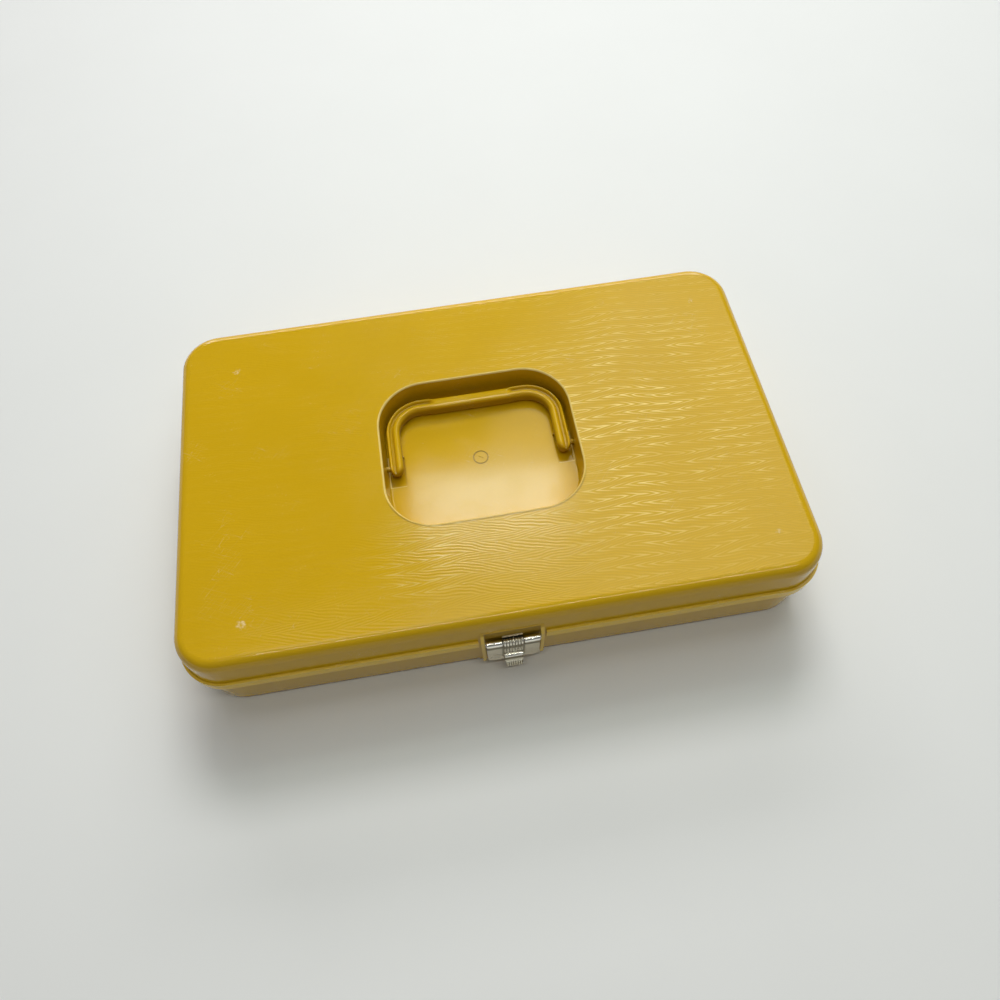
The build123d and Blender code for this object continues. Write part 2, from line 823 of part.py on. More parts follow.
def build_tray():
    """The lift-out tray: bays between dividers, and moulded pegs for thread reels."""
    floor_z = tray_rest_z
    rim_z = tray_rest_z + tray_height
    outer_low = outline(floor_z, -tray_wall_inset - tray_draft)
    outer = drafted(outer_low, outline(rim_z, -tray_wall_inset))
    outer = fillet(edges_at_height(outer, floor_z), tray_edge_radius)
    lip = extrude(
        outline(rim_z - tray_lip_thickness, -tray_wall_inset + tray_lip_reach),
        amount=tray_lip_thickness,
    )
    inside_z = floor_z + tray_sheet
    inside = drafted(
        outline(inside_z, -tray_wall_inset - tray_draft - tray_sheet),
        outline(rim_z, -tray_wall_inset - tray_sheet),
    )
    tray = outer + lip - inside

    inner_half_x = lid_length / 2 - tray_wall_inset - tray_sheet / 2
    inner_half_y = lid_width / 2 - tray_wall_inset - tray_sheet / 2
    half = divider_thickness / 2
    side_x = inner_half_x - tray_side_bay_width
    front_bay_y = -inner_half_y + tray_front_bay_width
    rear_bay_y = inner_half_y - tray_front_bay_width
    low = floor_z + tray_sheet / 2
    high = low + divider_height
    dividers = block(side_x - half, side_x + half, -inner_half_y, inner_half_y, low, high)
    dividers += block(-inner_half_x, inner_half_x, front_bay_y - half, front_bay_y + half, low, high)
    dividers += block(side_x, inner_half_x, rear_bay_y - half, rear_bay_y + half, low, high)
    tray += dividers & outer

    bay_middle_x = (side_x - inner_half_x) / 2
    bay_middle_y = (front_bay_y + inner_half_y) / 2
    for column in range(peg_columns):
        for row in range(peg_rows):
            x = bay_middle_x + (column - (peg_columns - 1) / 2) * peg_pitch_x
            y = bay_middle_y + (row - (peg_rows - 1) / 2) * peg_pitch_y
            peg = Cone(peg_radius, peg_tip_radius, peg_height)
            tray += Pos(x, y, low + peg_height / 2) * peg
    return tray


def write(name, shape):
    """Write one piece to its own file."""
    export_step(shape, f"parts/{name}.step")


def main():
    os.makedirs("parts", exist_ok=True)
    keeper_z = (keeper_top + keeper_foot) / 2
    keeper_rivets = []
    keeper_washers = []
    leaf_screws = []
    for side in (-1, 1):
        keeper_rivets.append(
            rivet(side * rivet_offset, keeper_z, plate_front_y, pad_y + washer_thickness)
        )
        keeper_washers.append(washer(side * rivet_offset, keeper_z, pad_y))
        leaf_screws.append(leaf_screw(side * leaf_width / 4, leaf_top + leaf_screw_rise))
    write("base_shell", build_base())
    write("lid_shell", build_lid())
    write("carry_handle", build_handle())
    write("hinge_pin_left", build_hinge_pin(-1))
    write("hinge_pin_right", build_hinge_pin(1))
    write("hasp_hinge_leaf", build_leaf())
    write("hasp_leaf_screws", Compound(children=leaf_screws))
    write("hasp_pivot_pin", build_hasp_pin())
    write("snap_hasp", build_hasp())
    write("keeper_plate", build_keeper())
    write("keeper_rivets", Compound(children=keeper_rivets))
    write("keeper_washers", Compound(children=keeper_washers))
    write("lift_out_tray", build_tray())


main()
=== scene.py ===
# %% [markdown]
# # A moulded sewing box with a folding handle and a plated hasp
# The box's two shells, its tray, pins and latch come from the CAD model and are only painted
# here. The handle and the stamped latch are formed anew from curved surfaces, because their soft
# rounded edges are what catches the light. Lengths are in metres; the helper MM turns
# millimetres into metres.

# %% Load the frame
import math

import bpy
import numpy as np
from mathutils import Euler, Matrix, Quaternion, Vector


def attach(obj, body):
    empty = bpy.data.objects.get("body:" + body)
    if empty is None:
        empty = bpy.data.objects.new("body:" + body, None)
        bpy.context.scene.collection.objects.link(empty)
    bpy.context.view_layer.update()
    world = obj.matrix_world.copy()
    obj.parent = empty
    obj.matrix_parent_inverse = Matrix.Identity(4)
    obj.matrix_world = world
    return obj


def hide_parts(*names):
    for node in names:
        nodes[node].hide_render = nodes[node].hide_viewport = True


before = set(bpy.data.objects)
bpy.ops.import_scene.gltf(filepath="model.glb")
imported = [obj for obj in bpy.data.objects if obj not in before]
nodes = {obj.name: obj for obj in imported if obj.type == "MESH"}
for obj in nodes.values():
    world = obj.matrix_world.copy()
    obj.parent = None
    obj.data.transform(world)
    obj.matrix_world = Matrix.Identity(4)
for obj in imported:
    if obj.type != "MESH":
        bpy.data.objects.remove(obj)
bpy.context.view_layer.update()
MM = 0.001
print("CAD nodes:", ", ".join(sorted(nodes)))

# %% [markdown]
# The camera stands a little left of the middle, in front of the box and above it, and looks down
# at 62 degrees. The place and turn were solved from the straight edges of the box, so the lid's
# outline falls where it does in the picture. A wide lens close to the box gives its strong
# perspective.

# %% Camera
CAMERA_PLACE = Vector((-16.16, -215.32, 398.48)) * MM
CAMERA_TURN = (27.918, 1.400, -9.339)
LENS = 27.92

camera_data = bpy.data.cameras.new("camera")
camera_data.lens = LENS
camera_data.sensor_width = 36.0
camera_data.clip_start = 0.01
camera_data.clip_end = 20.0
camera = bpy.data.objects.new("camera", camera_data)
camera.location = CAMERA_PLACE
camera.rotation_euler = Euler([math.radians(a) for a in CAMERA_TURN])
bpy.context.scene.collection.objects.link(camera)
bpy.context.scene.camera = camera
print("camera at", tuple(round(v, 3) for v in camera.location))

# %% [markdown]
# Nodes are wired with a few helpers. Each takes the node tree and either numbers or sockets, so
# a formula reads from left to right as it would on paper. Patterns measure in millimetres.

# %% Node helpers
def feed(tree, socket, value):
    """Put a number or vector into a socket, or link another socket to it."""
    if isinstance(value, bpy.types.NodeSocket):
        tree.links.new(value, socket)
    else:
        socket.default_value = value


def calc(tree, operation, a, b=0.0, c=0.0):
    """One step of arithmetic on numbers."""
    node = tree.nodes.new("ShaderNodeMath")
    node.operation = operation
    for socket, value in zip(node.inputs, (a, b, c)):
        feed(tree, socket, value)
    return node.outputs[0]


def vector_calc(tree, operation, a, b=(0, 0, 0), scale=None):
    """One step of arithmetic on vectors."""
    node = tree.nodes.new("ShaderNodeVectorMath")
    node.operation = operation
    feed(tree, node.inputs[0], a)
    feed(tree, node.inputs[1], b)
    if scale is not None:
        feed(tree, node.inputs["Scale"], scale)
    return node.outputs["Value"] if operation in ("LENGTH", "DISTANCE") else node.outputs[0]


def xyz(tree, vector):
    """The three parts of a vector, each as a number."""
    node = tree.nodes.new("ShaderNodeSeparateXYZ")
    feed(tree, node.inputs[0], vector)
    return tuple(node.outputs)


def ramp(tree, value, low, high, out_low=0.0, out_high=1.0):
    """A smooth step: out_low below low, out_high above high."""
    node = tree.nodes.new("ShaderNodeMapRange")
    node.interpolation_type = "SMOOTHSTEP"
    for label, number in (
        ("Value", value), ("From Min", low), ("From Max", high),
        ("To Min", out_low), ("To Max", out_high),
    ):
        feed(tree, node.inputs[label], number)
    return node.outputs["Result"]


def noise(tree, place, size, detail=2.0, roughness=0.5):
    """Cloudy noise between 0 and 1 whose clouds are about size millimetres wide."""
    node = tree.nodes.new("ShaderNodeTexNoise")
    feed(tree, node.inputs["Vector"], place)
    node.inputs["Scale"].default_value = 1.0 / size
    node.inputs["Detail"].default_value = detail
    node.inputs["Roughness"].default_value = roughness
    return node.outputs["Fac"]


def mixed(tree, factor, a, b):
    """Colour a, turning into colour b as factor goes from 0 to 1."""
    node = tree.nodes.new("ShaderNodeMix")
    node.data_type = "RGBA"
    feed(tree, node.inputs[0], factor)
    feed(tree, node.inputs[6], a)
    feed(tree, node.inputs[7], b)
    return node.outputs[2]


def new_group(name, inputs, outputs):
    """A shader node group with named sockets; returns its tree, its input node and output node."""
    tree = bpy.data.node_groups.new(name, "ShaderNodeTree")
    kinds = {"number": "NodeSocketFloat", "vector": "NodeSocketVector", "colour": "NodeSocketColor"}
    for label, kind, value in inputs:
        socket = tree.interface.new_socket(label, in_out="INPUT", socket_type=kinds[kind])
        socket.default_value = value
    for label, kind in outputs:
        tree.interface.new_socket(label, in_out="OUTPUT", socket_type=kinds[kind])
    return tree, tree.nodes.new("NodeGroupInput"), tree.nodes.new("NodeGroupOutput")


def use_group(tree, group, **values):
    """Place a node group; its inputs are given by name, with _ for a space."""
    node = tree.nodes.new("ShaderNodeGroup")
    node.node_tree = group
    for label, value in values.items():
        feed(tree, node.inputs[label.replace("_", " ")], value)
    return node.outputs


print("node helpers ready")

# %% [markdown]
# Old moulded plastic isn't one flat colour. The melt leaves broad, faint clouds, and years of
# handling leave a fine speckle. One group gives both as a slightly changed colour, and a little
# change in gloss to go with it.

# %% Group: moulded colour
moulded_colour, inside, outside = new_group(
    "moulded colour",
    [
        ("Place", "vector", (0, 0, 0)),
        ("Colour", "colour", (0.5, 0.3, 0.02, 1)),
        ("Cloud size", "number", 70.0),
        ("Strength", "number", 0.08),
        ("Gloss change", "number", 0.05),
    ],
    [("Colour", "colour"), ("Gloss", "number")],
)
tree = moulded_colour
place = inside.outputs["Place"]
clouds = tree.nodes.new("ShaderNodeTexNoise")
feed(tree, clouds.inputs["Vector"], place)
feed(tree, clouds.inputs["Scale"], calc(tree, "DIVIDE", 1.0, inside.outputs["Cloud size"]))
clouds.inputs["Detail"].default_value = 3.0
speckle = noise(tree, place, 0.9, 2.0)
cloud_part = calc(tree, "SUBTRACT", clouds.outputs["Fac"], 0.5)
speckle_part = calc(tree, "MULTIPLY", calc(tree, "SUBTRACT", speckle, 0.5), 0.5)
change = calc(tree, "ADD", cloud_part, speckle_part)
strength = calc(tree, "MULTIPLY", inside.outputs["Strength"], 2.0)
bright = calc(tree, "MULTIPLY_ADD", change, strength, 1.0)
tinted = vector_calc(tree, "SCALE", inside.outputs["Colour"], scale=bright)
feed(tree, outside.inputs["Colour"], tinted)
gloss = calc(tree, "MULTIPLY", change, inside.outputs["Gloss change"])
feed(tree, outside.inputs["Gloss"], gloss)
print("group", moulded_colour.name)

# %% [markdown]
# The lid's flat top carries an engraved moire, like watered silk: fine ridges one and a half
# millimetres apart that run nearly along the box, meet in sharp points and turn back, row after
# row. It can be drawn as the contour lines of a slope that is folded across the box: the slope
# climbs over a little more than half of a row and falls back over the rest, which gives the two
# directions of the ridges. Soft noise bends both, so no two points look alike. The group puts out
# the ridges, their height, which is a little less where the slope falls, and a mask of the points.

# %% Group: moire grain
ROW_CLOUD, ROW_BEND = 60.0, 12.0
LINE_CLOUD, LINE_BEND = 14.0, 18.0
moire_grain, inside, outside = new_group(
    "moire grain",
    [
        ("Place", "vector", (0, 0, 0)),
        ("Spacing", "number", 8.2),
        ("Row", "number", 10.5),
        ("Climb", "number", 0.56),
        ("Reach", "number", 31.0),
        ("Skew", "number", 0.035),
    ],
    [("Ridges", "number"), ("Points", "number"), ("Height", "number")],
)
tree = moire_grain
place = inside.outputs["Place"]
place_x, place_y, _ = xyz(tree, place)
row_bend = calc(tree, "SUBTRACT", noise(tree, place, ROW_CLOUD, 1.0), 0.5)
row_bend = calc(tree, "MULTIPLY", row_bend, ROW_BEND)
line_bend = calc(tree, "SUBTRACT", noise(tree, place, LINE_CLOUD, 2.0), 0.5)
line_bend = calc(tree, "MULTIPLY", line_bend, LINE_BEND)
level = calc(tree, "ADD", place_y, row_bend)
across = calc(tree, "MULTIPLY_ADD", place_x, inside.outputs["Skew"], level)
row_part = calc(tree, "FRACT", calc(tree, "DIVIDE", across, inside.outputs["Row"]))
climbing = calc(tree, "DIVIDE", row_part, inside.outputs["Climb"])
falling = calc(tree, "DIVIDE", calc(tree, "SUBTRACT", 1.0, row_part),
               calc(tree, "SUBTRACT", 1.0, inside.outputs["Climb"]))
folded = calc(tree, "MINIMUM", climbing, falling)
along = calc(tree, "ADD", place_x, line_bend)
slope = calc(tree, "MULTIPLY_ADD", folded, inside.outputs["Reach"], along)
turns = calc(tree, "MULTIPLY", calc(tree, "DIVIDE", slope, inside.outputs["Spacing"]), 2 * math.pi)
wave = calc(tree, "SINE", turns)
feed(tree, outside.inputs["Ridges"], wave)
lower = ramp(tree, row_part, 0.50, 0.62, 1.0, 0.78)
feed(tree, outside.inputs["Height"], calc(tree, "MULTIPLY", wave, lower))
turned = calc(tree, "SUBTRACT", calc(tree, "MULTIPLY", folded, 2.0), 1.0)
turned = ramp(tree, calc(tree, "ABSOLUTE", turned), 0.15, 0.95)
strong = ramp(tree, noise(tree, place, 22.0, 2.0), 0.38, 0.60, 0.25, 1.0)
feed(tree, outside.inputs["Points"], calc(tree, "MULTIPLY", turned, strong))
print("group", moire_grain.name)

# %% [markdown]
# Rub marks: each corner of the lid has a pale patch of tiny nicks where the box has been put
# down or slid. A mark is a round patch that fades outwards, cut into specks by fine noise.

# %% Group: rub mark
RARE_SPECK = 0.78
rub_mark, inside, outside = new_group(
    "rub mark",
    [
        ("Place", "vector", (0, 0, 0)),
        ("Centre", "vector", (0, 0, 0)),
        ("Size", "number", 6.0),
        ("Density", "number", 0.5),
    ],
    [("Mask", "number")],
)
tree = rub_mark
place = inside.outputs["Place"]
distance = vector_calc(tree, "DISTANCE", place, inside.outputs["Centre"])
fade = ramp(tree, calc(tree, "DIVIDE", distance, inside.outputs["Size"]), 0.1, 1.0, 1.0, 0.0)
specks = noise(tree, place, 1.4, 4.0, 0.65)
needed = calc(tree, "SUBTRACT", RARE_SPECK, calc(tree, "MULTIPLY", fade, inside.outputs["Density"]))
above = ramp(tree, calc(tree, "SUBTRACT", specks, needed), -0.02, 0.22)
mask = calc(tree, "MULTIPLY", above, ramp(tree, fade, 0.0, 0.2))
feed(tree, outside.inputs["Mask"], mask)
print("group", rub_mark.name)

# %% [markdown]
# Several looks follow the outline of a moulding: the painted highlight round the mouth of the
# handle's well, the line of painted shade in front of it, and the painted highlight on the rim
# where the two shells meet. All are rounded rectangles, so one group gives the level distance
# beyond such a rectangle, negative inside.

# %% Group: rounded outline
rounded_outline, inside, outside = new_group(
    "rounded outline",
    [
        ("Place", "vector", (0, 0, 0)),
        ("Half", "vector", (51.0, 43.0, 0.0)),
        ("Corner", "number", 25.0),
    ],
    [("Beyond", "number")],
)
tree = rounded_outline
corner = vector_calc(tree, "SCALE", (1, 1, 0), scale=inside.outputs["Corner"])
straight = vector_calc(tree, "SUBTRACT", inside.outputs["Half"], corner)
outward = vector_calc(tree, "ABSOLUTE", inside.outputs["Place"])
outward = vector_calc(tree, "SUBTRACT", outward, straight)
outward = vector_calc(tree, "MAXIMUM", outward, (0, 0, 0))
outward = vector_calc(tree, "MULTIPLY", outward, (1, 1, 0))
length = vector_calc(tree, "LENGTH", outward)
feed(tree, outside.inputs["Beyond"], calc(tree, "SUBTRACT", length, inside.outputs["Corner"]))
print("group", rounded_outline.name)

# %% [markdown]
# Each end of the handle folds over a shallow rectangular pocket in the floor of the well, which
# gives its tip room to turn. The pocket's moulded edge gets a thin painted highlight. The ring in
# the middle of the floor is the mark of the mould's gate, and its groove gets painted shade.

# %% Group: well floor lines
floor_lines, inside, outside = new_group(
    "well floor lines",
    [
        ("Place", "vector", (0, 0, 0)),
        ("Middle", "vector", (45.3, -1.5, 42.0)),
        ("Half", "vector", (4.1, 9.1, 0.4)),
        ("Ring", "number", 3.85),
    ],
    [("Edge", "number"), ("Groove", "number")],
)
tree = floor_lines
place_x, place_y, place_z = xyz(tree, inside.outputs["Place"])
middle_x, middle_y, middle_z = xyz(tree, inside.outputs["Middle"])
half_x, half_y, half_z = xyz(tree, inside.outputs["Half"])
across = calc(tree, "SUBTRACT", calc(tree, "ABSOLUTE", place_x), middle_x)
across = calc(tree, "SUBTRACT", calc(tree, "ABSOLUTE", across), half_x)
along = calc(tree, "SUBTRACT", place_y, middle_y)
along = calc(tree, "SUBTRACT", calc(tree, "ABSOLUTE", along), half_y)
off = calc(tree, "ABSOLUTE", calc(tree, "MAXIMUM", across, along))
# The pocket's edge line, a painted highlight
line = ramp(tree, off, 0.25, 0.5, 1.0, 0.0)
level = calc(tree, "SUBTRACT", place_z, middle_z)
level = calc(tree, "LESS_THAN", calc(tree, "ABSOLUTE", level), half_z)
feed(tree, outside.inputs["Edge"], calc(tree, "MULTIPLY", line, level))
flat = vector_calc(tree, "MULTIPLY", inside.outputs["Place"], (1, 1, 0))
off = calc(tree, "SUBTRACT", vector_calc(tree, "LENGTH", flat), inside.outputs["Ring"])
# The gate ring's groove, painted shade
groove_shade = ramp(tree, calc(tree, "ABSOLUTE", off), 0.2, 0.5, 1.0, 0.0)
feed(tree, outside.inputs["Groove"], calc(tree, "MULTIPLY", groove_shade, level))
print("group", floor_lines.name)

# %% [markdown]
# Hairline scratches are long thin streaks in a few directions. Noise that is stretched strongly
# along one direction and cut near its middle value leaves such lines; a second, cloudy noise
# keeps them to a few places.

# %% Group: hairlines
ACROSS_STREAKS = 0.55
hairlines, inside, outside = new_group(
    "hairlines",
    [
        ("Place", "vector", (0, 0, 0)),
        ("Turn", "number", 0.4),
        ("Length", "number", 22.0),
        ("Width", "number", 0.012),
    ],
    [("Mask", "number")],
)
tree = hairlines
turned = tree.nodes.new("ShaderNodeVectorRotate")
turned.rotation_type = "Z_AXIS"
feed(tree, turned.inputs["Vector"], inside.outputs["Place"])
feed(tree, turned.inputs["Angle"], inside.outputs["Turn"])
squeeze = tree.nodes.new("ShaderNodeCombineXYZ")
feed(tree, squeeze.inputs[0], calc(tree, "DIVIDE", 1.0, inside.outputs["Length"]))
squeeze.inputs[1].default_value = ACROSS_STREAKS
squeeze.inputs[2].default_value = ACROSS_STREAKS
stretched = vector_calc(tree, "MULTIPLY", turned.outputs[0], squeeze.outputs[0])
streaks = tree.nodes.new("ShaderNodeTexNoise")
feed(tree, streaks.inputs["Vector"], stretched)
streaks.inputs["Scale"].default_value = 1.0
streaks.inputs["Detail"].default_value = 0.0
middle = calc(tree, "ABSOLUTE", calc(tree, "SUBTRACT", streaks.outputs["Fac"], 0.5))
line = ramp(tree, middle, 0.0, inside.outputs["Width"], 1.0, 0.0)
elsewhere = vector_calc(tree, "ADD", inside.outputs["Place"], (91, 17, 40))
few = ramp(tree, noise(tree, elsewhere, 26.0, 2.0), 0.56, 0.68)
feed(tree, outside.inputs["Mask"], calc(tree, "MULTIPLY", line, few))
print("group", hairlines.name)

# %% [markdown]
# Every finish starts the same way: a Principled shader and the object's own coordinates, turned
# into millimetres. The coordinates belong to the piece, so a pattern stays on it when the piece
# swings with its joint.

# %% Start of a material
def new_material(name, roughness, metallic=0.0, specular=0.5):
    """A material with its Principled shader; returns the material, tree, shader and place in mm."""
    material = bpy.data.materials.new(name)
    material.use_nodes = True
    tree = material.node_tree
    shader = tree.nodes["Principled BSDF"]
    shader.inputs["Roughness"].default_value = roughness
    shader.inputs["Metallic"].default_value = metallic
    shader.inputs["Specular IOR Level"].default_value = specular
    coordinates = tree.nodes.new("ShaderNodeTexCoord")
    place = vector_calc(tree, "SCALE", coordinates.outputs["Object"], scale=1000.0)
    return material, tree, shader, place


def add_bump(tree, shader, height):
    """Tilt the surface by a height in millimetres."""
    bump = tree.nodes.new("ShaderNodeBump")
    bump.inputs["Strength"].default_value = 1.0
    bump.inputs["Distance"].default_value = MM
    feed(tree, bump.inputs["Height"], height)
    tree.links.new(bump.outputs["Normal"], shader.inputs["Normal"])


print("materials are measured in millimetres")

# %% [markdown]
# The shells are harvest-gold plastic with a soft gloss. The walls and the handle's well are
# smooth; the flat top carries the moire. One base colour serves them all, with paler tones for
# nicks, painted highlights on edges, crests and the rim, and painted shade in lines and grooves.

# %% Gold plastic: colours and places
GOLD = (0.605, 0.357, 0.004, 1)
PALE_NICK = (0.82, 0.64, 0.36, 1)
# The next four tones paint light: a crest highlight, shade, an edge highlight, a rim highlight
CREST_HIGHLIGHT = (0.92, 0.72, 0.24, 1)
SHADED_GOLD = (0.16, 0.085, 0.004, 1)
EDGE_HIGHLIGHT = (0.95, 0.78, 0.30, 1)
RIM_HIGHLIGHT_GOLD = (0.88, 0.60, 0.07, 1)
LID_TOP = 57.0
RIDGE_HEIGHT = 0.013
GLITTER_RIGHT = (85.0, -3.0, LID_TOP)
GLITTER_FRONT = (-32.0, -54.0, LID_TOP)
print("lid top at", LID_TOP, "mm, ridges", RIDGE_HEIGHT, "mm high")

# %% [markdown]
# The moire is cut into the mould, so each ridge is a real step of about a hundredth of a
# millimetre. That is too low to be worth a mesh, and a bump draws it well. A mask by height keeps
# it to the top plane: the well, the walls and the inside all lie lower. The colour along the
# ridges is painted lighter and darker, as painted light and shade, more strongly towards the
# right. The engraved points glitter most in two soft spots of the lid, and there their crests
# carry a painted highlight, because a crest is narrower than a pixel.

# %% Gold plastic: the moire on the lid's top
def moire_look(tree, place, paint, gloss, height):
    """Ridges on the top plane with painted shade and crest highlights; returns paint, gloss, height."""
    place_x, _, place_z = xyz(tree, place)
    on_top = ramp(tree, place_z, LID_TOP - 0.10, LID_TOP - 0.03)
    grain = use_group(tree, moire_grain, Place=place)
    ridges = calc(tree, "MULTIPLY", grain["Ridges"], on_top)
    raised = calc(tree, "MULTIPLY", grain["Height"], on_top)
    height = calc(tree, "MULTIPLY_ADD", raised, RIDGE_HEIGHT, height)
    points = calc(tree, "MULTIPLY", calc(tree, "MULTIPLY", grain["Points"], on_top), 0.03)
    gloss = calc(tree, "ADD", calc(tree, "MULTIPLY_ADD", on_top, 0.03, gloss), points)
    # Painted light and shade along the ridges, stronger to the right, and painted crest highlights
    painted_light_side = ramp(tree, place_x, -60.0, 60.0, 0.12, 1.0)
    away = vector_calc(tree, "DISTANCE", place, GLITTER_RIGHT)
    lit = calc(tree, "MULTIPLY", painted_light_side, ramp(tree, away, 25.0, 95.0, 1.0, 0.2))
    away = vector_calc(tree, "DISTANCE", place, GLITTER_FRONT)
    lit = calc(tree, "MAXIMUM", lit, ramp(tree, away, 8.0, 38.0, 0.7, 0.0))
    lit = calc(tree, "MULTIPLY", grain["Points"], lit)
    crest_highlight = calc(tree, "MULTIPLY", lit, calc(tree, "MAXIMUM", ridges, 0.0))
    shading = calc(tree, "MULTIPLY_ADD", calc(tree, "MULTIPLY", ridges, painted_light_side), 0.035, 0.985)
    paint = vector_calc(tree, "SCALE", paint, scale=shading)
    return mixed(tree, crest_highlight, paint, CREST_HIGHLIGHT), gloss, height


print("moire: crests glitter round", GLITTER_RIGHT[:2], "and", GLITTER_FRONT[:2])

# %% [markdown]
# Four places of the lid are not plain gold. The edge of the handle's well has a painted
# highlight, with a line of painted shade before it at the front. The lines on the well's floor,
# a painted highlight and painted shade, come from their group. The recess behind the latch has
# painted shade and a duller gloss. Nicks from use gather at the corners. Each is a mask by place,
# because on the real lid all of them belong to one and the same moulding.

# %% Gold plastic: well, recess and rub marks
WELL_HALF = (51.0, 43.0, 0.0)
WELL_CORNER = 25.0
MOUTH_LOW = 56.1
# Strengths of painted highlight and shade: mouth, its change in front, front line, pocket, gate
MOUTH_HIGHLIGHT, MOUTH_FRONT_CHANGE, FRONT_SHADE = 0.6, -0.3, 0.45
POCKET_HIGHLIGHT, GATE_GROOVE_SHADE = 0.55, 0.6
RECESS_HALF, RECESS_TOP, RECESS_BACK = 13.2, 45.2, -98.9
# The recess behind the latch gets painted shade and a duller gloss
RECESS_SHADE, RECESS_DULL = 0.55, 0.4
RUB_STRENGTH = 0.7
RUB_MARKS = [
    ((-124, -79, 57), 5.0, 0.42),
    ((-125, 69, 57), 4.5, 0.36),
    ((133, 73, 57), 4.0, 0.34),
    ((135, -75.5, 57), 4.0, 0.34),
]


def band(tree, value, rise, fall):
    """1 between the two smooth steps rise and fall, given as (low, high), and 0 outside them."""
    return calc(tree, "MULTIPLY", ramp(tree, value, *rise), ramp(tree, value, *fall, 1.0, 0.0))


def well_look(tree, place, paint):
    """A painted highlight round the well's mouth, painted shade before it, and the floor's lines."""
    _, place_y, place_z = xyz(tree, place)
    outline = use_group(tree, rounded_outline, Place=place, Half=WELL_HALF, Corner=WELL_CORNER)
    mouth = outline["Beyond"]
    in_front = ramp(tree, place_y, -34.0, -22.0, 1.0, 0.0)
    high = calc(tree, "GREATER_THAN", place_z, MOUTH_LOW)
    # A painted highlight round the mouth, weaker in front
    mouth_highlight = calc(tree, "MULTIPLY", band(tree, mouth, (-0.5, 0.0), (0.55, 0.95)), high)
    strength = calc(tree, "MULTIPLY_ADD", in_front, MOUTH_FRONT_CHANGE, MOUTH_HIGHLIGHT)
    mouth_highlight = calc(tree, "MULTIPLY", mouth_highlight, strength)
    paint = mixed(tree, mouth_highlight, paint, EDGE_HIGHLIGHT)
    # A line of painted shade just outside the mouth at the front
    front_shade_line = calc(tree, "MULTIPLY", band(tree, mouth, (0.4, 0.8), (1.3, 1.8)), high)
    front_shade_line = calc(tree, "MULTIPLY", front_shade_line, in_front)
    paint = mixed(tree, calc(tree, "MULTIPLY", front_shade_line, FRONT_SHADE), paint, SHADED_GOLD)
    # The pocket's painted highlight and the gate groove's painted shade
    lines = use_group(tree, floor_lines, Place=place)
    paint = mixed(tree, calc(tree, "MULTIPLY", lines["Edge"], POCKET_HIGHLIGHT), paint, EDGE_HIGHLIGHT)
    return mixed(tree, calc(tree, "MULTIPLY", lines["Groove"], GATE_GROOVE_SHADE), paint, SHADED_GOLD)


def recess_look(tree, place, paint, gloss):
    """Painted shade and a duller gloss in the recess behind the latch; returns paint and gloss."""
    place_x, place_y, place_z = xyz(tree, place)
    beside = calc(tree, "ABSOLUTE", place_x)
    recess = ramp(tree, beside, RECESS_HALF, RECESS_HALF + 0.8, 1.0, 0.0)
    below = ramp(tree, place_z, RECESS_TOP, RECESS_TOP + 1.0, 1.0, 0.0)
    below = calc(tree, "MULTIPLY", below, ramp(tree, place_y, RECESS_BACK, RECESS_BACK + 0.6, 1.0, 0.0))
    recess = calc(tree, "MULTIPLY", recess, below)
    # Painted shade in the recess
    paint = mixed(tree, calc(tree, "MULTIPLY", recess, RECESS_SHADE), paint, SHADED_GOLD)
    return paint, calc(tree, "MULTIPLY_ADD", recess, RECESS_DULL, gloss)


def rubbed(tree, place, worn):
    """The wear with the corners' rub marks added: the stronger of the two at each place."""
    for centre, size, density in RUB_MARKS:
        mark = use_group(tree, rub_mark, Place=place, Centre=centre, Size=size, Density=density)
        worn = calc(tree, "MAXIMUM", worn, calc(tree, "MULTIPLY", mark["Mask"], RUB_STRENGTH))
    return worn


print("rub marks:", len(RUB_MARKS))

# %% [markdown]
# One function makes every gold finish, so the lid, the base and the handle stay one colour. It
# starts with the clouded plastic, dulls it in small patches, lays a few hairlines over it, and
# adds what only one piece has: the lid's looks, a painted highlight on the rim of both shells,
# and painted shade in the handle's grooves.

# %% Material: gold plastic
PLASTIC_ROUGHNESS = 0.11
PATCH_ROUGHNESS = 0.12
SKIN_HEIGHT = 0.003
HAIRLINE_STRENGTH = 0.22
SHELL_HALF = (156.0, 98.0, 0.0)
SHELL_CORNER = 19.7
RIM_START, RIM_HIGHLIGHT_STRENGTH = (1.6, 2.0), 0.75
HANDLE_LEVEL = 46.05
GROOVE_SPAN, GROOVE_SHADE_STRENGTH = (1.0, 2.9), 0.5


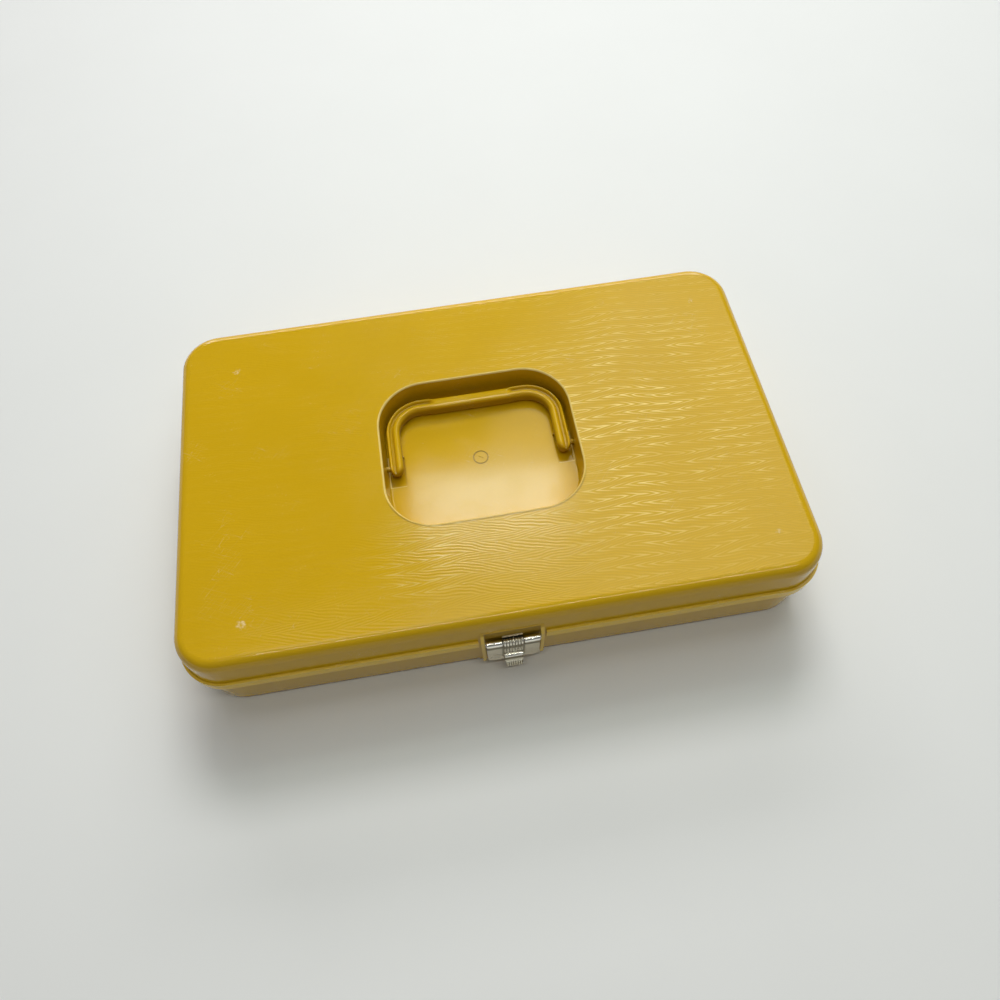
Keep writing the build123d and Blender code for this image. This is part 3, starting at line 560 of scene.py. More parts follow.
def gold_material(name, is_lid=False, with_rim_highlight=False, with_groove_shade=False):
    """Harvest-gold plastic with the lid's looks, a painted rim highlight or painted groove shade."""
    material, tree, shader, place = new_material(name, 0.3, specular=0.38)
    colour = use_group(tree, moulded_colour, Place=place, Colour=GOLD, Cloud_size=80.0,
                       Strength=0.07, Gloss_change=0.06)
    gloss = calc(tree, "ADD", colour["Gloss"], PLASTIC_ROUGHNESS)
    paint = colour["Colour"]
    scratch_a = use_group(tree, hairlines, Place=place, Turn=0.5, Length=30.0)["Mask"]
    scratch_b = use_group(tree, hairlines, Place=place, Turn=-0.9, Length=22.0, Width=0.010)["Mask"]
    worn = calc(tree, "MAXIMUM", scratch_a, scratch_b)
    worn = calc(tree, "MULTIPLY", worn, HAIRLINE_STRENGTH)
    height = calc(tree, "MULTIPLY", noise(tree, place, 0.5, 2.0), SKIN_HEIGHT)
    matte = ramp(tree, noise(tree, place, 1.1, 4.0, 0.7), 0.46, 0.62)
    elsewhere = vector_calc(tree, "ADD", place, (40, 8, 3))
    patches = ramp(tree, noise(tree, elsewhere, 15.0, 2.0), 0.45, 0.62)
    matte = calc(tree, "MULTIPLY", matte, patches)
    gloss = calc(tree, "MULTIPLY_ADD", matte, PATCH_ROUGHNESS, gloss)
    if is_lid:
        paint, gloss, height = moire_look(tree, place, paint, gloss, height)
        paint = well_look(tree, place, paint)
        paint, gloss = recess_look(tree, place, paint, gloss)
        worn = rubbed(tree, place, worn)
    # A painted highlight on the rim, where it stands out beyond the shell's outline
    if with_rim_highlight:
        outline = use_group(tree, rounded_outline, Place=place, Half=SHELL_HALF, Corner=SHELL_CORNER)
        rim = ramp(tree, outline["Beyond"], *RIM_START, 0.0, RIM_HIGHLIGHT_STRENGTH)
        paint = mixed(tree, rim, paint, RIM_HIGHLIGHT_GOLD)
    # Painted shade on the handle's sides and grooves, near its middle plane
    if with_groove_shade:
        _, _, place_z = xyz(tree, place)
        off_middle = calc(tree, "ABSOLUTE", calc(tree, "SUBTRACT", place_z, HANDLE_LEVEL))
        groove_shade = ramp(tree, off_middle, *GROOVE_SPAN, GROOVE_SHADE_STRENGTH, 0.0)
        paint = mixed(tree, groove_shade, paint, SHADED_GOLD)
    paint = mixed(tree, worn, paint, PALE_NICK)
    feed(tree, shader.inputs["Base Color"], paint)
    feed(tree, shader.inputs["Roughness"], calc(tree, "MULTIPLY_ADD", worn, 0.25, gloss))
    add_bump(tree, shader, height)
    return material


gold_lid = gold_material("gold lid", is_lid=True, with_rim_highlight=True)
gold_smooth = gold_material("gold smooth", with_rim_highlight=True)
gold_handle = gold_material("gold handle", with_groove_shade=True)
print("gold finishes:", gold_lid.name, gold_smooth.name, gold_handle.name)

# %% [markdown]
# The tray inside is cream plastic, a little duller than the shells, with a faint orange-peel
# surface. It shows only when the lid is up, so the shared groups and a soft bump are enough.

# %% Material: cream tray
CREAM = (0.78, 0.70, 0.52, 1)
CREAM_SCRATCH = (0.55, 0.47, 0.33, 1)
cream_tray, tree, shader, place = new_material("cream tray", 0.38)
colour = use_group(tree, moulded_colour, Place=place, Colour=CREAM, Cloud_size=50.0,
                   Strength=0.05, Gloss_change=0.1)
scratch = use_group(tree, hairlines, Place=place, Turn=1.2, Length=16.0)["Mask"]
scratch = calc(tree, "MULTIPLY", scratch, 0.25)
feed(tree, shader.inputs["Base Color"], mixed(tree, scratch, colour["Colour"], CREAM_SCRATCH))
feed(tree, shader.inputs["Roughness"], calc(tree, "ADD", colour["Gloss"], 0.38))
add_bump(tree, shader, calc(tree, "MULTIPLY", noise(tree, place, 1.6, 1.0), 0.01))
print("material", cream_tray.name)

# %% [markdown]
# The hasp is thin stamped steel with a warm nickel plate, cloudy in patches. Its rolls and lip
# use a paler copy of the nickel as a painted highlight, and its hollows are darkened, partly
# with painted shade.

# %% Group: plated metal
plated_metal, inside, outside = new_group(
    "plated metal",
    [
        ("Place", "vector", (0, 0, 0)),
        ("Colour", "colour", (0.8, 0.75, 0.63, 1)),
        ("Dull colour", "colour", (0.5, 0.46, 0.38, 1)),
        ("Patch size", "number", 3.0),
        ("Dullness", "number", 0.5),
        ("Brush", "vector", (1, 1, 1)),
    ],
    [("Colour", "colour"), ("Roughness", "number"), ("Height", "number")],
)
tree = plated_metal
place = inside.outputs["Place"]
patches = tree.nodes.new("ShaderNodeTexNoise")
feed(tree, patches.inputs["Vector"], place)
feed(tree, patches.inputs["Scale"], calc(tree, "DIVIDE", 1.0, inside.outputs["Patch size"]))
patches.inputs["Detail"].default_value = 4.0
cloudy = ramp(tree, patches.outputs["Fac"], 0.45, 0.75)
cloudy = calc(tree, "MULTIPLY", cloudy, inside.outputs["Dullness"])
brushed = noise(tree, vector_calc(tree, "MULTIPLY", place, inside.outputs["Brush"]), 0.25, 2.0)
tinted = mixed(tree, cloudy, inside.outputs["Colour"], inside.outputs["Dull colour"])
feed(tree, outside.inputs["Colour"], tinted)
rough = calc(tree, "MULTIPLY_ADD", cloudy, 0.22, 0.17)
feed(tree, outside.inputs["Roughness"], calc(tree, "MULTIPLY_ADD", brushed, 0.12, rough))
feed(tree, outside.inputs["Height"], calc(tree, "MULTIPLY", brushed, 0.004))
print("group", plated_metal.name)

# %% [markdown]
# The latch's hinge leaf is rolled round the pin in upright ribs, and the gaps between them are
# darker. Its mesh belongs to the CAD model, so a mask by place darkens the gaps there, and paints
# shade on the leaf behind the knuckle. The pieces made in this script carry their own "hollow"
# attribute instead, which follows their form exactly; on a piece without it the attribute reads
# as zero.

# %% Materials: nickel, steel and zinc
# Darkens hollows; under the hasp's roll and lip and behind the leaf's knuckle it is painted shade
HOLLOW_DARK = (0.16, 0.135, 0.075, 1)
LEAF_PITCH = 1.4
LEAF_HALF = 5.2
LEAF_BACK_Y = -101.0
LEAF_EDGE_Z = 40.25


def rib_gaps(tree, place):
    """1 between the leaf's ribs and, as painted shade, behind the knuckle below its top edge; else 0.

    The distance to the nearest rib is |x| wrapped to half a pitch either side of zero.
    """
    place_x, place_y, place_z = xyz(tree, place)
    across = calc(tree, "ABSOLUTE", place_x)
    rib = calc(tree, "ABSOLUTE", calc(tree, "WRAP", across, LEAF_PITCH / 2, -LEAF_PITCH / 2))
    in_row = ramp(tree, across, LEAF_HALF, LEAF_HALF + 0.3, 1.0, 0.0)
    back = ramp(tree, place_y, LEAF_BACK_Y - 0.6, LEAF_BACK_Y)
    below_edge = ramp(tree, place_z, LEAF_EDGE_Z, LEAF_EDGE_Z + 0.12, 1.0, 0.0)
    gaps = calc(tree, "MULTIPLY", ramp(tree, rib, 0.30, 0.55), calc(tree, "SUBTRACT", 1.0, back))
    # Behind the knuckle, below its top edge, the leaf gets painted shade
    gaps = calc(tree, "MAXIMUM", gaps, calc(tree, "MULTIPLY", back, below_edge))
    return calc(tree, "MULTIPLY", gaps, in_row)


def metal_material(name, colour, dull, patch, dullness, brush, ribbed=False):
    """Bare or plated metal with cloudy patches, a brushed direction and darkened hollows."""
    material, tree, shader, place = new_material(name, 0.25, metallic=1.0)
    metal = use_group(tree, plated_metal, Place=place, Colour=colour, Dull_colour=dull,
                      Patch_size=patch, Dullness=dullness, Brush=brush)
    hollow = tree.nodes.new("ShaderNodeAttribute")
    hollow.attribute_name = "hollow"
    darkening = hollow.outputs["Fac"]
    if ribbed:
        darkening = calc(tree, "MAXIMUM", darkening, rib_gaps(tree, place))
    darkening_mix = calc(tree, "MULTIPLY", darkening, 0.85)
    rough = calc(tree, "MULTIPLY_ADD", darkening_mix, 0.15, metal["Roughness"])
    feed(tree, shader.inputs["Base Color"], mixed(tree, darkening_mix, metal["Colour"], HOLLOW_DARK))
    feed(tree, shader.inputs["Roughness"], rough)
    add_bump(tree, shader, metal["Height"])
    return material


nickel = metal_material(
    "nickel plate", (0.86, 0.81, 0.66, 1), (0.56, 0.51, 0.39, 1), 3.5, 0.45, (1.0, 1.0, 0.3))
# The leaf's ribs, the lip and the rolls get paler copies of the nickel, a painted highlight
nickel_ribs_highlight = metal_material(
    "nickel ribs highlight", (0.90, 0.86, 0.74, 1), (0.60, 0.55, 0.44, 1), 3.5, 0.3, (1.0, 1.0, 0.3), True)
nickel_highlight = metal_material(
    "nickel highlight", (0.93, 0.90, 0.80, 1), (0.78, 0.74, 0.62, 1), 5.0, 0.10, (0.03, 0.4, 0.4))
steel = metal_material(
    "drawn steel", (0.62, 0.62, 0.62, 1), (0.40, 0.39, 0.38, 1), 6.0, 0.5, (0.05, 1.0, 1.0))
zinc = metal_material(
    "zinc fastener", (0.66, 0.67, 0.69, 1), (0.45, 0.46, 0.47, 1), 1.2, 0.8, (1.0, 1.0, 1.0))
print("metals:", nickel.name, steel.name, zinc.name)

# %% [markdown]
# The shells, the tray, the pins, the leaf and the small fasteners are plain enough to come
# straight from the CAD model. They keep their own meshes and only get a material each, which
# keeps them true to the CAD model's sizes.

# %% Dress the CAD nodes
FINISHES = {
    "lid_shell": gold_lid,
    "base_shell": gold_smooth,
    "carry_handle": gold_smooth,
    "lift_out_tray": cream_tray,
    "hinge_pin_left": steel,
    "hinge_pin_right": steel,
    "hasp_pivot_pin": steel,
    "hasp_hinge_leaf": nickel_ribs_highlight,
    "snap_hasp": nickel,
    "keeper_plate": nickel,
    "hasp_leaf_screws": zinc,
    "keeper_rivets": zinc,
    "keeper_washers": zinc,
}
for name, finish in FINISHES.items():
    mesh = nodes[name].data
    mesh.materials.clear()
    mesh.materials.append(finish)
print("dressed", len(FINISHES), "nodes")

# %% [markdown]
# The handle and the stamped latch are closed surfaces worked out as whole arrays. A surface is a
# stack of rings with the same number of points; neighbouring rings are joined by four-sided
# faces, and the first and last ring close on a middle point.

# %% Closed surfaces
def closed_surface(name, rings, slot, body, node, material):
    """Join rings of points (rings, points, 3), in millimetres, into one closed smooth object.

    Ring i, point j joins ring i + 1, point j + 1, counted round; each end ring closes on its mean
    point. The faces are turned over if the enclosed volume comes out negative.
    """
    count, around, _ = rings.shape
    poles = np.stack([rings[0].mean(0), rings[-1].mean(0)])
    points = np.concatenate([rings.reshape(-1, 3), poles])
    i, j = np.meshgrid(np.arange(count - 1), np.arange(around), indexing="ij")
    k = (j + 1) % around
    this, following = i * around, (i + 1) * around
    quads = np.stack([this + j, this + k, following + k, following + j], -1).reshape(-1, 4)
    edge = np.arange(around)
    after = (edge + 1) % around
    first_pole = np.full(around, count * around)
    last = (count - 1) * around
    start_cap = np.stack([first_pole, after, edge], -1)
    end_cap = np.stack([first_pole + 1, last + edge, last + after], -1)
    corner = points[quads]
    volume = np.einsum("ij,ij->i", corner[:, 0], np.cross(corner[:, 1], corner[:, 2])).sum()
    volume += np.einsum("ij,ij->i", corner[:, 0], np.cross(corner[:, 2], corner[:, 3])).sum()
    if volume < 0:
        quads = quads[:, ::-1]
        start_cap = start_cap[:, ::-1]
        end_cap = end_cap[:, ::-1]
    faces = quads.tolist() + start_cap.tolist() + end_cap.tolist()
    mesh = bpy.data.meshes.new(name)
    mesh.from_pydata((points * MM).tolist(), [], faces)
    mesh.polygons.foreach_set("use_smooth", np.ones(len(mesh.polygons), dtype=bool))
    mesh.materials.append(material)
    piece = bpy.data.objects.new(name, mesh)
    bpy.context.scene.collection.objects.link(piece)
    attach(piece, body)
    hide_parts(node)
    return piece


def smooth_step(value, low, high):
    """0 below low, 1 above high, with the cubic 3t^2 - 2t^3 between them."""
    t = np.clip((value - low) / (high - low), 0, 1)
    return t * t * (3 - 2 * t)


def turned_rod(x_ends, centre, radius, nose, depth=None):
    """Rings of a rod along X, round or deeper (Y) than high, with ends rounded over nose."""
    low, high = x_ends
    bend = np.linspace(0, math.pi / 2, 9)
    x = np.concatenate([low + nose * (1 - np.cos(bend)), high - nose * (1 - np.cos(bend[::-1]))])
    size = np.concatenate([np.sin(bend), np.sin(bend[::-1])]) * 0.94 + 0.06
    angle = np.linspace(0, 2 * math.pi, 40, endpoint=False)
    y = centre[0] + (depth or radius) * size[:, None] * np.cos(angle)
    z = centre[1] + radius * size[:, None] * np.sin(angle)
    return np.stack([np.repeat(x[:, None], angle.size, 1), y, z], -1)


print("surface helpers are ready")

# %% [markdown]
# The handle is one moulding. Its section is not a plain bar: along the legs and bends a broad
# rounded spine runs on the inner side, a thinner ridge on the outer side, and a groove lies
# between them. Over the grip the outer ridge dies out and the section becomes a bevelled bar.
# Past the pivots both ridges run together into a blunt point. The section is carried along the
# path of the bail, and its height is the smooth union of the two ridges and the web.

# %% The folding handle
HALF_SPAN = 48.4
PIVOT_Y = -1.5
PIVOT_Z = HANDLE_LEVEL
REAR_Y = 38.4
BEND = 20.0
LEG_WIDTH = 7.4
TIP = 4.7
TIP_INSET = 3.2
PIN_END = 52.3
PIN_RADIUS = 1.5
GRIP_HALF = 20.0
GRIP_FADE = 3.5
BAR_INSET = 1.0
BAR_HEIGHT = 3.7
WEB_HEIGHT = 1.6
# A ridge is the inset of its centre, its half width and its height above the middle plane
SPINE = (5.35, 2.05, 3.7)
OUTER_RIDGE = (1.1, 1.1, 3.1)


def bail_line():
    """Points of the bail's outer edge, the inward direction there, and the length past a pivot.

    From the left tip up the leg, a quarter circle of radius BEND, the straight grip, a quarter
    circle and down the right leg. The inward direction is a quarter turn from the path.
    """
    straight_top = REAR_Y - BEND
    tip_run = TIP * (1 - np.cos(np.linspace(0, math.pi / 2, 26)[::-1]))
    leg_y = np.concatenate([PIVOT_Y - tip_run, np.linspace(PIVOT_Y, straight_top, 30)[1:-1]])
    turn = np.linspace(0, math.pi / 2, 48)
    bend_x = -HALF_SPAN + BEND - BEND * np.cos(turn)
    bend_y = straight_top + BEND * np.sin(turn)
    bar_x = np.linspace(-HALF_SPAN + BEND, 0, 40)[1:]
    x = np.concatenate([np.full(leg_y.size, -HALF_SPAN), bend_x, bar_x])
    y = np.concatenate([leg_y, bend_y, np.full(bar_x.size, REAR_Y)])
    inward_x = np.concatenate([np.ones(leg_y.size), np.cos(turn), np.zeros(bar_x.size)])
    inward_y = np.concatenate([np.zeros(leg_y.size), -np.sin(turn), -np.ones(bar_x.size)])
    past = np.clip(PIVOT_Y - y, 0, None)
    left = np.stack([x, y, inward_x, inward_y, past], -1)
    right = left[::-1][1:] * np.array([-1, 1, -1, 1, 1])
    return np.concatenate([left, right])


def ridge(inset, centre, half_width, height, power=2.2):
    """A rounded ridge across the section: height * (1 - |u|^power)^(1/power), u from its centre."""
    u = np.clip(np.abs(inset - centre) / half_width, 0, 1)
    return height * (1 - u ** power) ** (1 / power)


def handle_rings():
    """Sections of the bail: the union of spine, web and outer ridge, or the bar of the grip.

    The smooth union of heights is the fourth root of the sum of their fourth powers. Past the
    pivot the section shrinks as sqrt(1 - (length / TIP)^2).
    """
    line = bail_line()
    x, y, inward_x, inward_y, past = [line[:, [c]] for c in range(5)]
    angle = np.linspace(0, 2 * math.pi, 120, endpoint=False)
    across = LEG_WIDTH / 2 * (1 - np.cos(angle))[None, :]
    sense = np.where(np.sin(angle) >= 0, 1.0, -1.0)[None, :]
    grip = smooth_step(GRIP_HALF + GRIP_FADE - np.abs(x), 0.0, GRIP_FADE)
    web = ridge(across, LEG_WIDTH / 2, LEG_WIDTH / 2, WEB_HEIGHT, 5.0)
    legs = (ridge(across, *SPINE) ** 4 + ridge(across, *OUTER_RIDGE) ** 4 + web ** 4) ** 0.25
    bar_inset = BAR_INSET + across * (LEG_WIDTH - BAR_INSET) / LEG_WIDTH
    bar = ridge(across, LEG_WIDTH / 2, LEG_WIDTH / 2, BAR_HEIGHT, 4.5)
    inset = across * (1 - grip) + bar_inset * grip
    height = legs * (1 - grip) + bar * grip
    taper = np.sqrt(np.clip(1 - (past / TIP) ** 2.0, 0, 1)) * 0.985 + 0.015
    inset = TIP_INSET + (inset - TIP_INSET) * taper
    height = height * taper ** 0.8
    flat = np.minimum(height, BAR_HEIGHT)
    return np.stack([x + inward_x * inset, y + inward_y * inset, PIVOT_Z + sense * flat], -1)


on_handle = ("gold_plastic", "handle", "carry_handle", gold_handle)
handle = closed_surface("handle_bail", handle_rings(), *on_handle)
for side, label in ((-1, "left"), (1, "right")):
    ends = sorted((side * (HALF_SPAN - 2.5), side * PIN_END))
    pin = turned_rod(ends, (PIVOT_Y, PIVOT_Z), PIN_RADIUS, 0.4)
    closed_surface("handle_pin_" + label, pin, *on_handle)
print("handle with", len(handle.data.polygons), "faces")

# %% [markdown]
# The hasp is stamped from thin sheet: a roll at the top for the pin, a plate with a raised and
# ribbed column in the middle, a bright folded lip with a slot below it, and a tongue that curls
# outward and ends in small ribs. Pressing leaves soft edges everywhere. The plate is drawn as a
# relief over its width and height, and the two rolls beside the ribbed knuckle are short rods
# with rounded, slightly flared ends.

# %% The snap hasp: sizes and helpers
HASP_BACK_Y = -101.45
HASP_AXIS = (-102.3, 38.5)
ROLL_RADIUS = 1.7
SHEET = 0.8
HASP_TOP = 37.6
HASP_HALF = 13.2
HASP_FOOT = 12.5
CORNER = 2.2
EDGE = 0.35
COLUMN_HALF = 5.3
COLUMN_SPAN = (16.6, 35.6)
COLUMN_RISE = 0.45
RIB_PITCH = 1.4
RIB_RADIUS = 0.5
RIB_SPAN = (24.6, 31.2)
RIB_RISE = 0.45
SLOT_HALF = 4.6
SLOT_SPAN = (18.3, 19.6)
LIP_Z = 20.6
LIP_HALF = 4.8
LIP_HEIGHT, LIP_DEPTH = 1.15, 1.6
TONGUE_TOP = 17.0
TONGUE_FOOT = 9.35
TONGUE_REACH = 3.95
TOE_PITCH = RIB_PITCH * 0.82
TOE_RADIUS = 0.42
TOE_SPAN = (9.9, 12.9)
TOE_END = 1.0


def tongue_half(z):
    """Half the tongue's width at a height: it narrows evenly from 5.4 to 4.3 mm."""
    return 5.4 - 1.1 * np.clip((TONGUE_TOP - z) / (TONGUE_TOP - TONGUE_FOOT), 0, 1)


def soft_box(value, low, high, edge):
    """1 between low and high with smooth shoulders of the width edge."""
    rise = smooth_step(value, low - edge / 2, low + edge / 2)
    fall = smooth_step(value, high - edge / 2, high + edge / 2)
    return rise * (1 - fall)


def seven_ribs(x, pitch, radius):
    """Seven half-round ribs side by side: sqrt(1 - (distance / radius)^2), between 0 and 1."""
    nearest = np.clip(np.round(x / pitch), -3, 3) * pitch
    return np.sqrt(np.clip(1 - ((x - nearest) / radius) ** 2, 0, 1))


def rounded_edge(distance):
    """0 on an edge, 1 from EDGE inwards, on a quarter circle: sqrt(1 - (1 - distance/EDGE)^2)."""
    d = np.clip(distance / EDGE, 0, 1)
    return np.sqrt(np.clip(1 - (1 - d) ** 2, 0, 1))


print("hasp", 2 * HASP_HALF, "mm wide, ribs", RIB_PITCH, "mm apart")

# %% [markdown]
# A press forms all of the plate's raised places at once, so one height function can describe
# them: each form is a smooth box across the plate times a smooth box up it. A second function
# says where the plate is darkened, with painted shade under the roll and under the lip, and the
# metal's material reads it as an attribute.

# %% The snap hasp: its relief
def hasp_relief(x, z):
    """How far the hasp's front stands before its back face, in millimetres.

    The sheet, plus the folded wings, plus the column with its seven ribs, less the step under
    the roll, with the slot pressed in; below, the tongue, where it stands further out. The
    tongue reaches out with the power 1.15 of the drop from its top.
    """
    wing_fold = 0.30 * smooth_step(z, 23.4, 24.2) * (1 - 0.5 * smooth_step(z, 24.2, 34.0))
    wing_hollow = soft_box(np.abs(x), 6.2, 11.9, 0.8) * soft_box(z, 14.2, 22.0, 1.0)
    wing_fold = wing_fold - 0.18 * wing_hollow
    column = soft_box(x, -COLUMN_HALF, COLUMN_HALF, 0.5) * soft_box(z, *COLUMN_SPAN, 0.5)
    ribs = RIB_RISE * seven_ribs(x, RIB_PITCH, RIB_RADIUS) * soft_box(z, *RIB_SPAN, 0.8)
    front = SHEET + wing_fold * (1 - column) + column * (COLUMN_RISE + ribs)
    front = front - 0.75 * smooth_step(z, 32.6, 34.2) * (1 - column)
    front = front + 0.45 * soft_box(x, -4.5, 4.5, 0.6) * soft_box(z, LIP_Z - 0.7, LIP_Z + 0.5, 0.4)
    slot = soft_box(x, -SLOT_HALF, SLOT_HALF, 0.3) * soft_box(z, *SLOT_SPAN, 0.25)
    front = front * (1 - slot) + 0.1 * slot
    drop = np.clip((TONGUE_TOP + 0.8 - z) / (TONGUE_TOP + 0.8 - TONGUE_FOOT), 0, 1)
    tongue = SHEET + COLUMN_RISE + (TONGUE_REACH - 0.75) * drop ** 1.15
    toes = RIB_RISE * seven_ribs(x, TOE_PITCH, TOE_RADIUS) * soft_box(z, *TOE_SPAN, 0.6)
    on_tongue = 1 - smooth_step(np.abs(x), tongue_half(z) - 0.35, tongue_half(z))
    on_tongue = on_tongue * smooth_step(drop, 0, 0.06)
    return np.maximum(front, (tongue + toes) * on_tongue)


def hasp_hollows(x, z):
    """Where the plate is darkened: the largest of the masks between the ribs, beside the column,
    in the slot, under the roll, between the toes and along the fold, each between 0 and 1. In
    the slot under the lip and under the roll the darkening is painted shade.
    """
    on_rib = smooth_step(seven_ribs(x, RIB_PITCH, 0.52), 0.1, 0.7) * soft_box(z, 24.4, 31.4, 0.6)
    hollow = (1 - on_rib) * soft_box(x, -5.1, 5.1, 0.3) * soft_box(z, 21.2, 34.0, 0.8)
    beside = soft_box(np.abs(x), COLUMN_HALF - 0.3, COLUMN_HALF + 0.5, 0.5)
    beside = beside * soft_box(z, 17.0, 34.0, 1.0)
    # Painted shade in the slot under the lip and under the roll
    slot = soft_box(x, -5.1, 5.1, 0.4) * soft_box(z, 14.6, 20.0, 0.7)
    under_roll = smooth_step(z, 29.6, 31.2)
    toe_gaps = 1 - smooth_step(seven_ribs(x, TOE_PITCH, TOE_RADIUS), 0.1, 0.6)
    toe_gaps = toe_gaps * soft_box(z, 9.8, 13.1, 0.6) * (np.abs(x) < 4.2)
    fold = 0.35 * soft_box(z, 23.1, 24.1, 0.5) * (np.abs(x) > COLUMN_HALF)
    return np.max([hollow, 0.8 * beside, slot, under_roll, toe_gaps, fold], axis=0)


print("relief in the middle of the plate:", round(float(hasp_relief(0.0, 28.0)), 2), "mm")

# %% [markdown]
# The plate is cut with rounded corners, narrows to a tongue and ends in a rounded toe. At each
# height a ring of points goes once round the sheet, front and back, so the thin plate is one
# closed piece. The bright lip and the rolls are rods, which give a cleaner highlight than a
# relief does.

# %% The snap hasp: rings and pieces
def hasp_outline():
    """Heights down the plate, and half its width at each: sides, corner, shelf, tongue, toe.

    The corner and the toe's ends are quarter circles, and the tongue narrows evenly. The shelf
    beside the tongue is all but level: each of its rings lies a hair below the last.
    """
    corner = np.linspace(0, math.pi / 2, 12)[1:]
    toe = np.linspace(0, math.pi / 2, 14)[1:]
    sides = np.linspace(HASP_TOP, HASP_FOOT + CORNER, 200)
    shelf = np.linspace(HASP_HALF - CORNER, tongue_half(HASP_FOOT), 10)[1:]
    tongue = np.linspace(HASP_FOOT - 0.1, TONGUE_FOOT + TOE_END, 22)
    z = np.concatenate([
        sides,
        HASP_FOOT + CORNER * (1 - np.sin(corner)),
        HASP_FOOT - 0.002 * np.arange(1, shelf.size + 1),
        tongue,
        TONGUE_FOOT + TOE_END - TOE_END * np.sin(toe),
    ])
    half = np.concatenate([
        np.full(sides.size, HASP_HALF),
        HASP_HALF - CORNER + CORNER * np.cos(corner),
        shelf,
        tongue_half(tongue),
        tongue_half(TONGUE_FOOT) + 0.12 - TOE_END + TOE_END * np.cos(toe),
    ])
    return z, half


def hasp_rings():
    """Rings round the plate, front then back, from the roll down to the toe.

    Across a ring the middle points keep to the tongue's width and the outer ones to the plate's.
    The back follows the front one sheet thickness behind it on the tongue and is flat above, and
    both faces close on their middle at the sides and the toe, as rounded_edge gives.
    """
    z, half = hasp_outline()
    half = half[:, None]
    tongue_width = tongue_half(HASP_FOOT)
    share = np.linspace(-1, 1, 181)
    middle = tongue_width / HASP_HALF
    wide = np.clip(half, tongue_width, None)
    outer = tongue_width + (wide - tongue_width) * (np.abs(share) - middle) / (1 - middle)
    inner = np.abs(share) / middle * np.minimum(half, tongue_width)
    reach = np.where(np.abs(share) <= middle, inner, np.minimum(outer, half))
    x = np.sign(share) * reach
    height = np.repeat(z[:, None], share.size, 1)
    front = hasp_relief(x, height)
    on_tongue = smooth_step(HASP_FOOT + 0.6 - height, 0, 0.9)
    back = (front - np.minimum(front, SHEET)) * on_tongue
    closing = np.minimum(rounded_edge(half - reach), rounded_edge(height - TONGUE_FOOT))
    middle_y = (front + back) / 2
    front = middle_y + (front - middle_y) * closing
    back = middle_y + (back - middle_y) * closing
    face = np.stack([x, HASP_BACK_Y - front, height], -1)
    rear = np.stack([x, HASP_BACK_Y - back, height], -1)[:, ::-1]
    return np.concatenate([face, rear[:, 1:-1]], 1)


on_hasp = ("nickel_plate", "hasp", "snap_hasp")
rings = hasp_rings()
hasp = closed_surface("hasp_plate", rings, *on_hasp, nickel)
flat = rings.reshape(-1, 3)
# The hasp's darkening, painted shade under the roll and lip, goes in as an attribute
hollows = np.append(hasp_hollows(flat[:, 0], flat[:, 2]), [0.0, 0.0])
hasp.data.attributes.new("hollow", "FLOAT", "POINT").data.foreach_set("value", hollows)
lip_place = (HASP_BACK_Y - SHEET - 0.55, LIP_Z)
lip = turned_rod((-LIP_HALF, LIP_HALF), lip_place, LIP_HEIGHT, 0.5, LIP_DEPTH)
closed_surface("hasp_lip", lip, *on_hasp, nickel_highlight)
for side, label in ((-1, "left"), (1, "right")):
    ends = sorted((side * 5.1, side * HASP_HALF))
    roll = turned_rod(ends, HASP_AXIS, ROLL_RADIUS, 0.5)
    flare = smooth_step(np.abs(roll[..., 0]), HASP_HALF - 2.6, HASP_HALF)
    roll[..., 2] += 0.35 * flare
    closed_surface("hasp_roll_" + label, roll, *on_hasp, nickel_highlight)
print("hasp with", len(hasp.data.polygons), "faces")

# %% [markdown]
# The box stands on a plain pale table, and a long way out the table turns into an even, pale
# backdrop. A studio uses one long sheet of paper that bends upwards. Here a flat sheet does both:
# its colour gives way to a soft glow with the distance, for the camera and for mirrored and
# transmitted rays alone, so the backdrop sends no light onto the box.

# %% Floor
TABLE_PALE = (0.80, 0.795, 0.785, 1)
TABLE_GREY = (0.75, 0.745, 0.735, 1)
BACKDROP = (0.88, 0.90, 0.925, 1)
BLACK = (0, 0, 0, 1)
TABLE_ENDS = (750.0, 1900.0)


def flat_sheet(name, half_x, half_y, centre, material):
    """A level rectangle of one face."""
    x, y, z = centre
    corners = [(x - half_x, y - half_y, z), (x + half_x, y - half_y, z),
               (x + half_x, y + half_y, z), (x - half_x, y + half_y, z)]
    mesh = bpy.data.meshes.new(name)
    mesh.from_pydata(corners, [], [(0, 1, 2, 3)])
    mesh.materials.append(material)
    sheet = bpy.data.objects.new(name, mesh)
    bpy.context.scene.collection.objects.link(sheet)
    return sheet


table_finish, tree, shader, place = new_material("pale table", 0.6, specular=0.1)
mottled = noise(tree, place, 90.0, 3.0)
tone = mixed(tree, calc(tree, "MULTIPLY", mottled, 0.5), TABLE_PALE, TABLE_GREY)
rays = tree.nodes.new("ShaderNodeLightPath")
seen = calc(tree, "MAXIMUM", rays.outputs["Is Camera Ray"], rays.outputs["Is Glossy Ray"])
seen = calc(tree, "MAXIMUM", seen, rays.outputs["Is Transmission Ray"])
far = ramp(tree, vector_calc(tree, "LENGTH", place), *TABLE_ENDS)
backdrop = calc(tree, "MULTIPLY", far, seen)
feed(tree, shader.inputs["Base Color"], mixed(tree, backdrop, tone, BLACK))
feed(tree, shader.inputs["Emission Color"], mixed(tree, backdrop, BLACK, BACKDROP))
shader.inputs["Emission Strength"].default_value = 1.0
table = flat_sheet("table", 3.0, 3.0, (0, 0.5, 0), table_finish)
print("table", table.name)

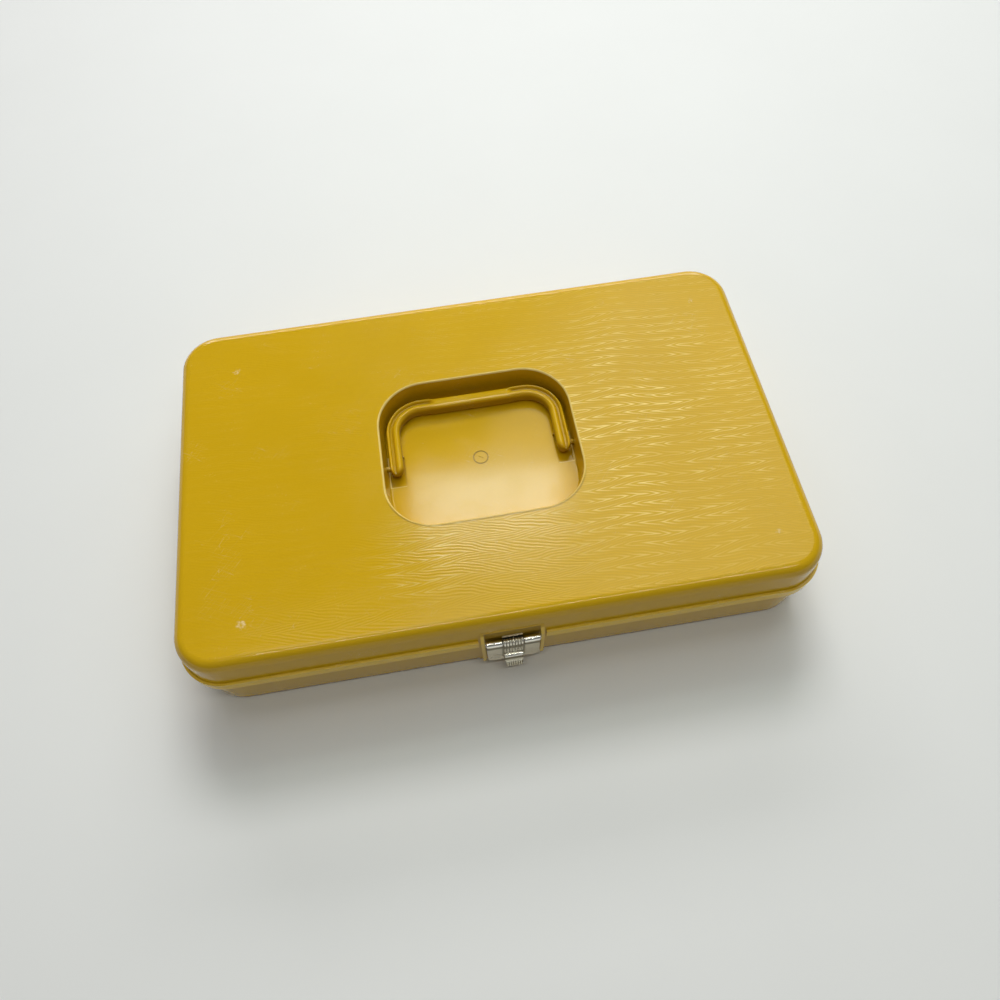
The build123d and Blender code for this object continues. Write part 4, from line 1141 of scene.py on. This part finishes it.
# %% [markdown]
# The light is a soft room. A broad low window panel behind the box lights it at a slant, and a
# second panel above that one throws the wide soft shadow forward; it isn't mirrored, which keeps
# the rolled edges free of a second line. A strip over the front edge draws the thin bright line
# along it. A cool panel gives the lid's right half its silky sheen, a small one is mirrored in
# the well's glossy floor, and a fill softens the rest.

# %% Lights
COOL = (0.90, 1.0, 0.94)
WARM = (0.98, 1.0, 0.90)
BOX_MIDDLE = (0, 0, 0.03)


def panel(name, place, aim, size, strength, turn=0.0, colour=(1, 1, 1)):
    """A rectangular soft light that faces a point, turned by degrees about its own axis."""
    data = bpy.data.lights.new(name, "AREA")
    data.shape = "RECTANGLE"
    data.size, data.size_y = size
    data.energy = strength * math.pi * size[0] * size[1]
    data.color = colour
    light = bpy.data.objects.new(name, data)
    light.location = place
    direction = Vector(aim) - Vector(place)
    facing = direction.to_track_quat("-Z", "Y") @ Quaternion((0, 0, 1), math.radians(turn))
    light.rotation_euler = facing.to_euler()
    bpy.context.scene.collection.objects.link(light)
    return light


panel("window panel", (0.10, 2.30, 1.25), BOX_MIDDLE, (2.4, 0.45), 6.5)
back = panel("back panel", (0.20, 1.55, 1.75), BOX_MIDDLE, (1.1, 0.5), 11.5)
back.visible_glossy = False
panel("ceiling panel", (0.15, -0.42, 1.5), (0.15, -0.1, 0), (1.4, 0.024), 44.0, 0.0, WARM)
panel("fill panel", (-0.25, 0.12, 1.3), (-0.25, 0.12, 0), (0.5, 0.3), 2.6)
panel("sheen panel", (0.53, 0.67, 1.2), (0.53, 0.67, 0), (0.80, 1.19), 1.65, -38.0, COOL)
panel("well panel", (0.028, 0.302, 0.657), (0.0, 0.0, 0.05), (0.21, 0.08), 9.3, 0.0, COOL)

# %% [markdown]
# The room itself is a plain pale glow, dim as light and bright where the camera looks past the
# table. Mirrored rays see a bright band near the horizon and a dim ceiling, because a rolled,
# glossy edge mirrors the whole height of a room in one narrow line, and an even room would turn
# that line milky.

# %% Room
ROOM_LIGHT = 0.125
ROOM_SEEN = 0.80
BAND_TOP = (0.08, 0.28)
world = bpy.data.worlds.new("room")
world.use_nodes = True
bpy.context.scene.world = world
tree = world.node_tree
background = tree.nodes["Background"]
background.inputs["Color"].default_value = (0.95, 0.97, 1.0, 1)
rays = tree.nodes.new("ShaderNodeLightPath")
_, _, up = xyz(tree, tree.nodes.new("ShaderNodeTexCoord").outputs["Generated"])
low = ramp(tree, up, *BAND_TOP, 1.0, 0.0)
mirrored = calc(tree, "MAXIMUM", rays.outputs["Is Glossy Ray"], rays.outputs["Is Transmission Ray"])
mirrored = calc(tree, "MULTIPLY", mirrored, low)
seen = calc(tree, "MAXIMUM", rays.outputs["Is Camera Ray"], mirrored)
seen = calc(tree, "MULTIPLY_ADD", seen, ROOM_SEEN, ROOM_LIGHT)
feed(tree, background.inputs["Strength"], seen)
bpy.context.scene.view_settings.view_transform = "Standard"
print("room", world.name)
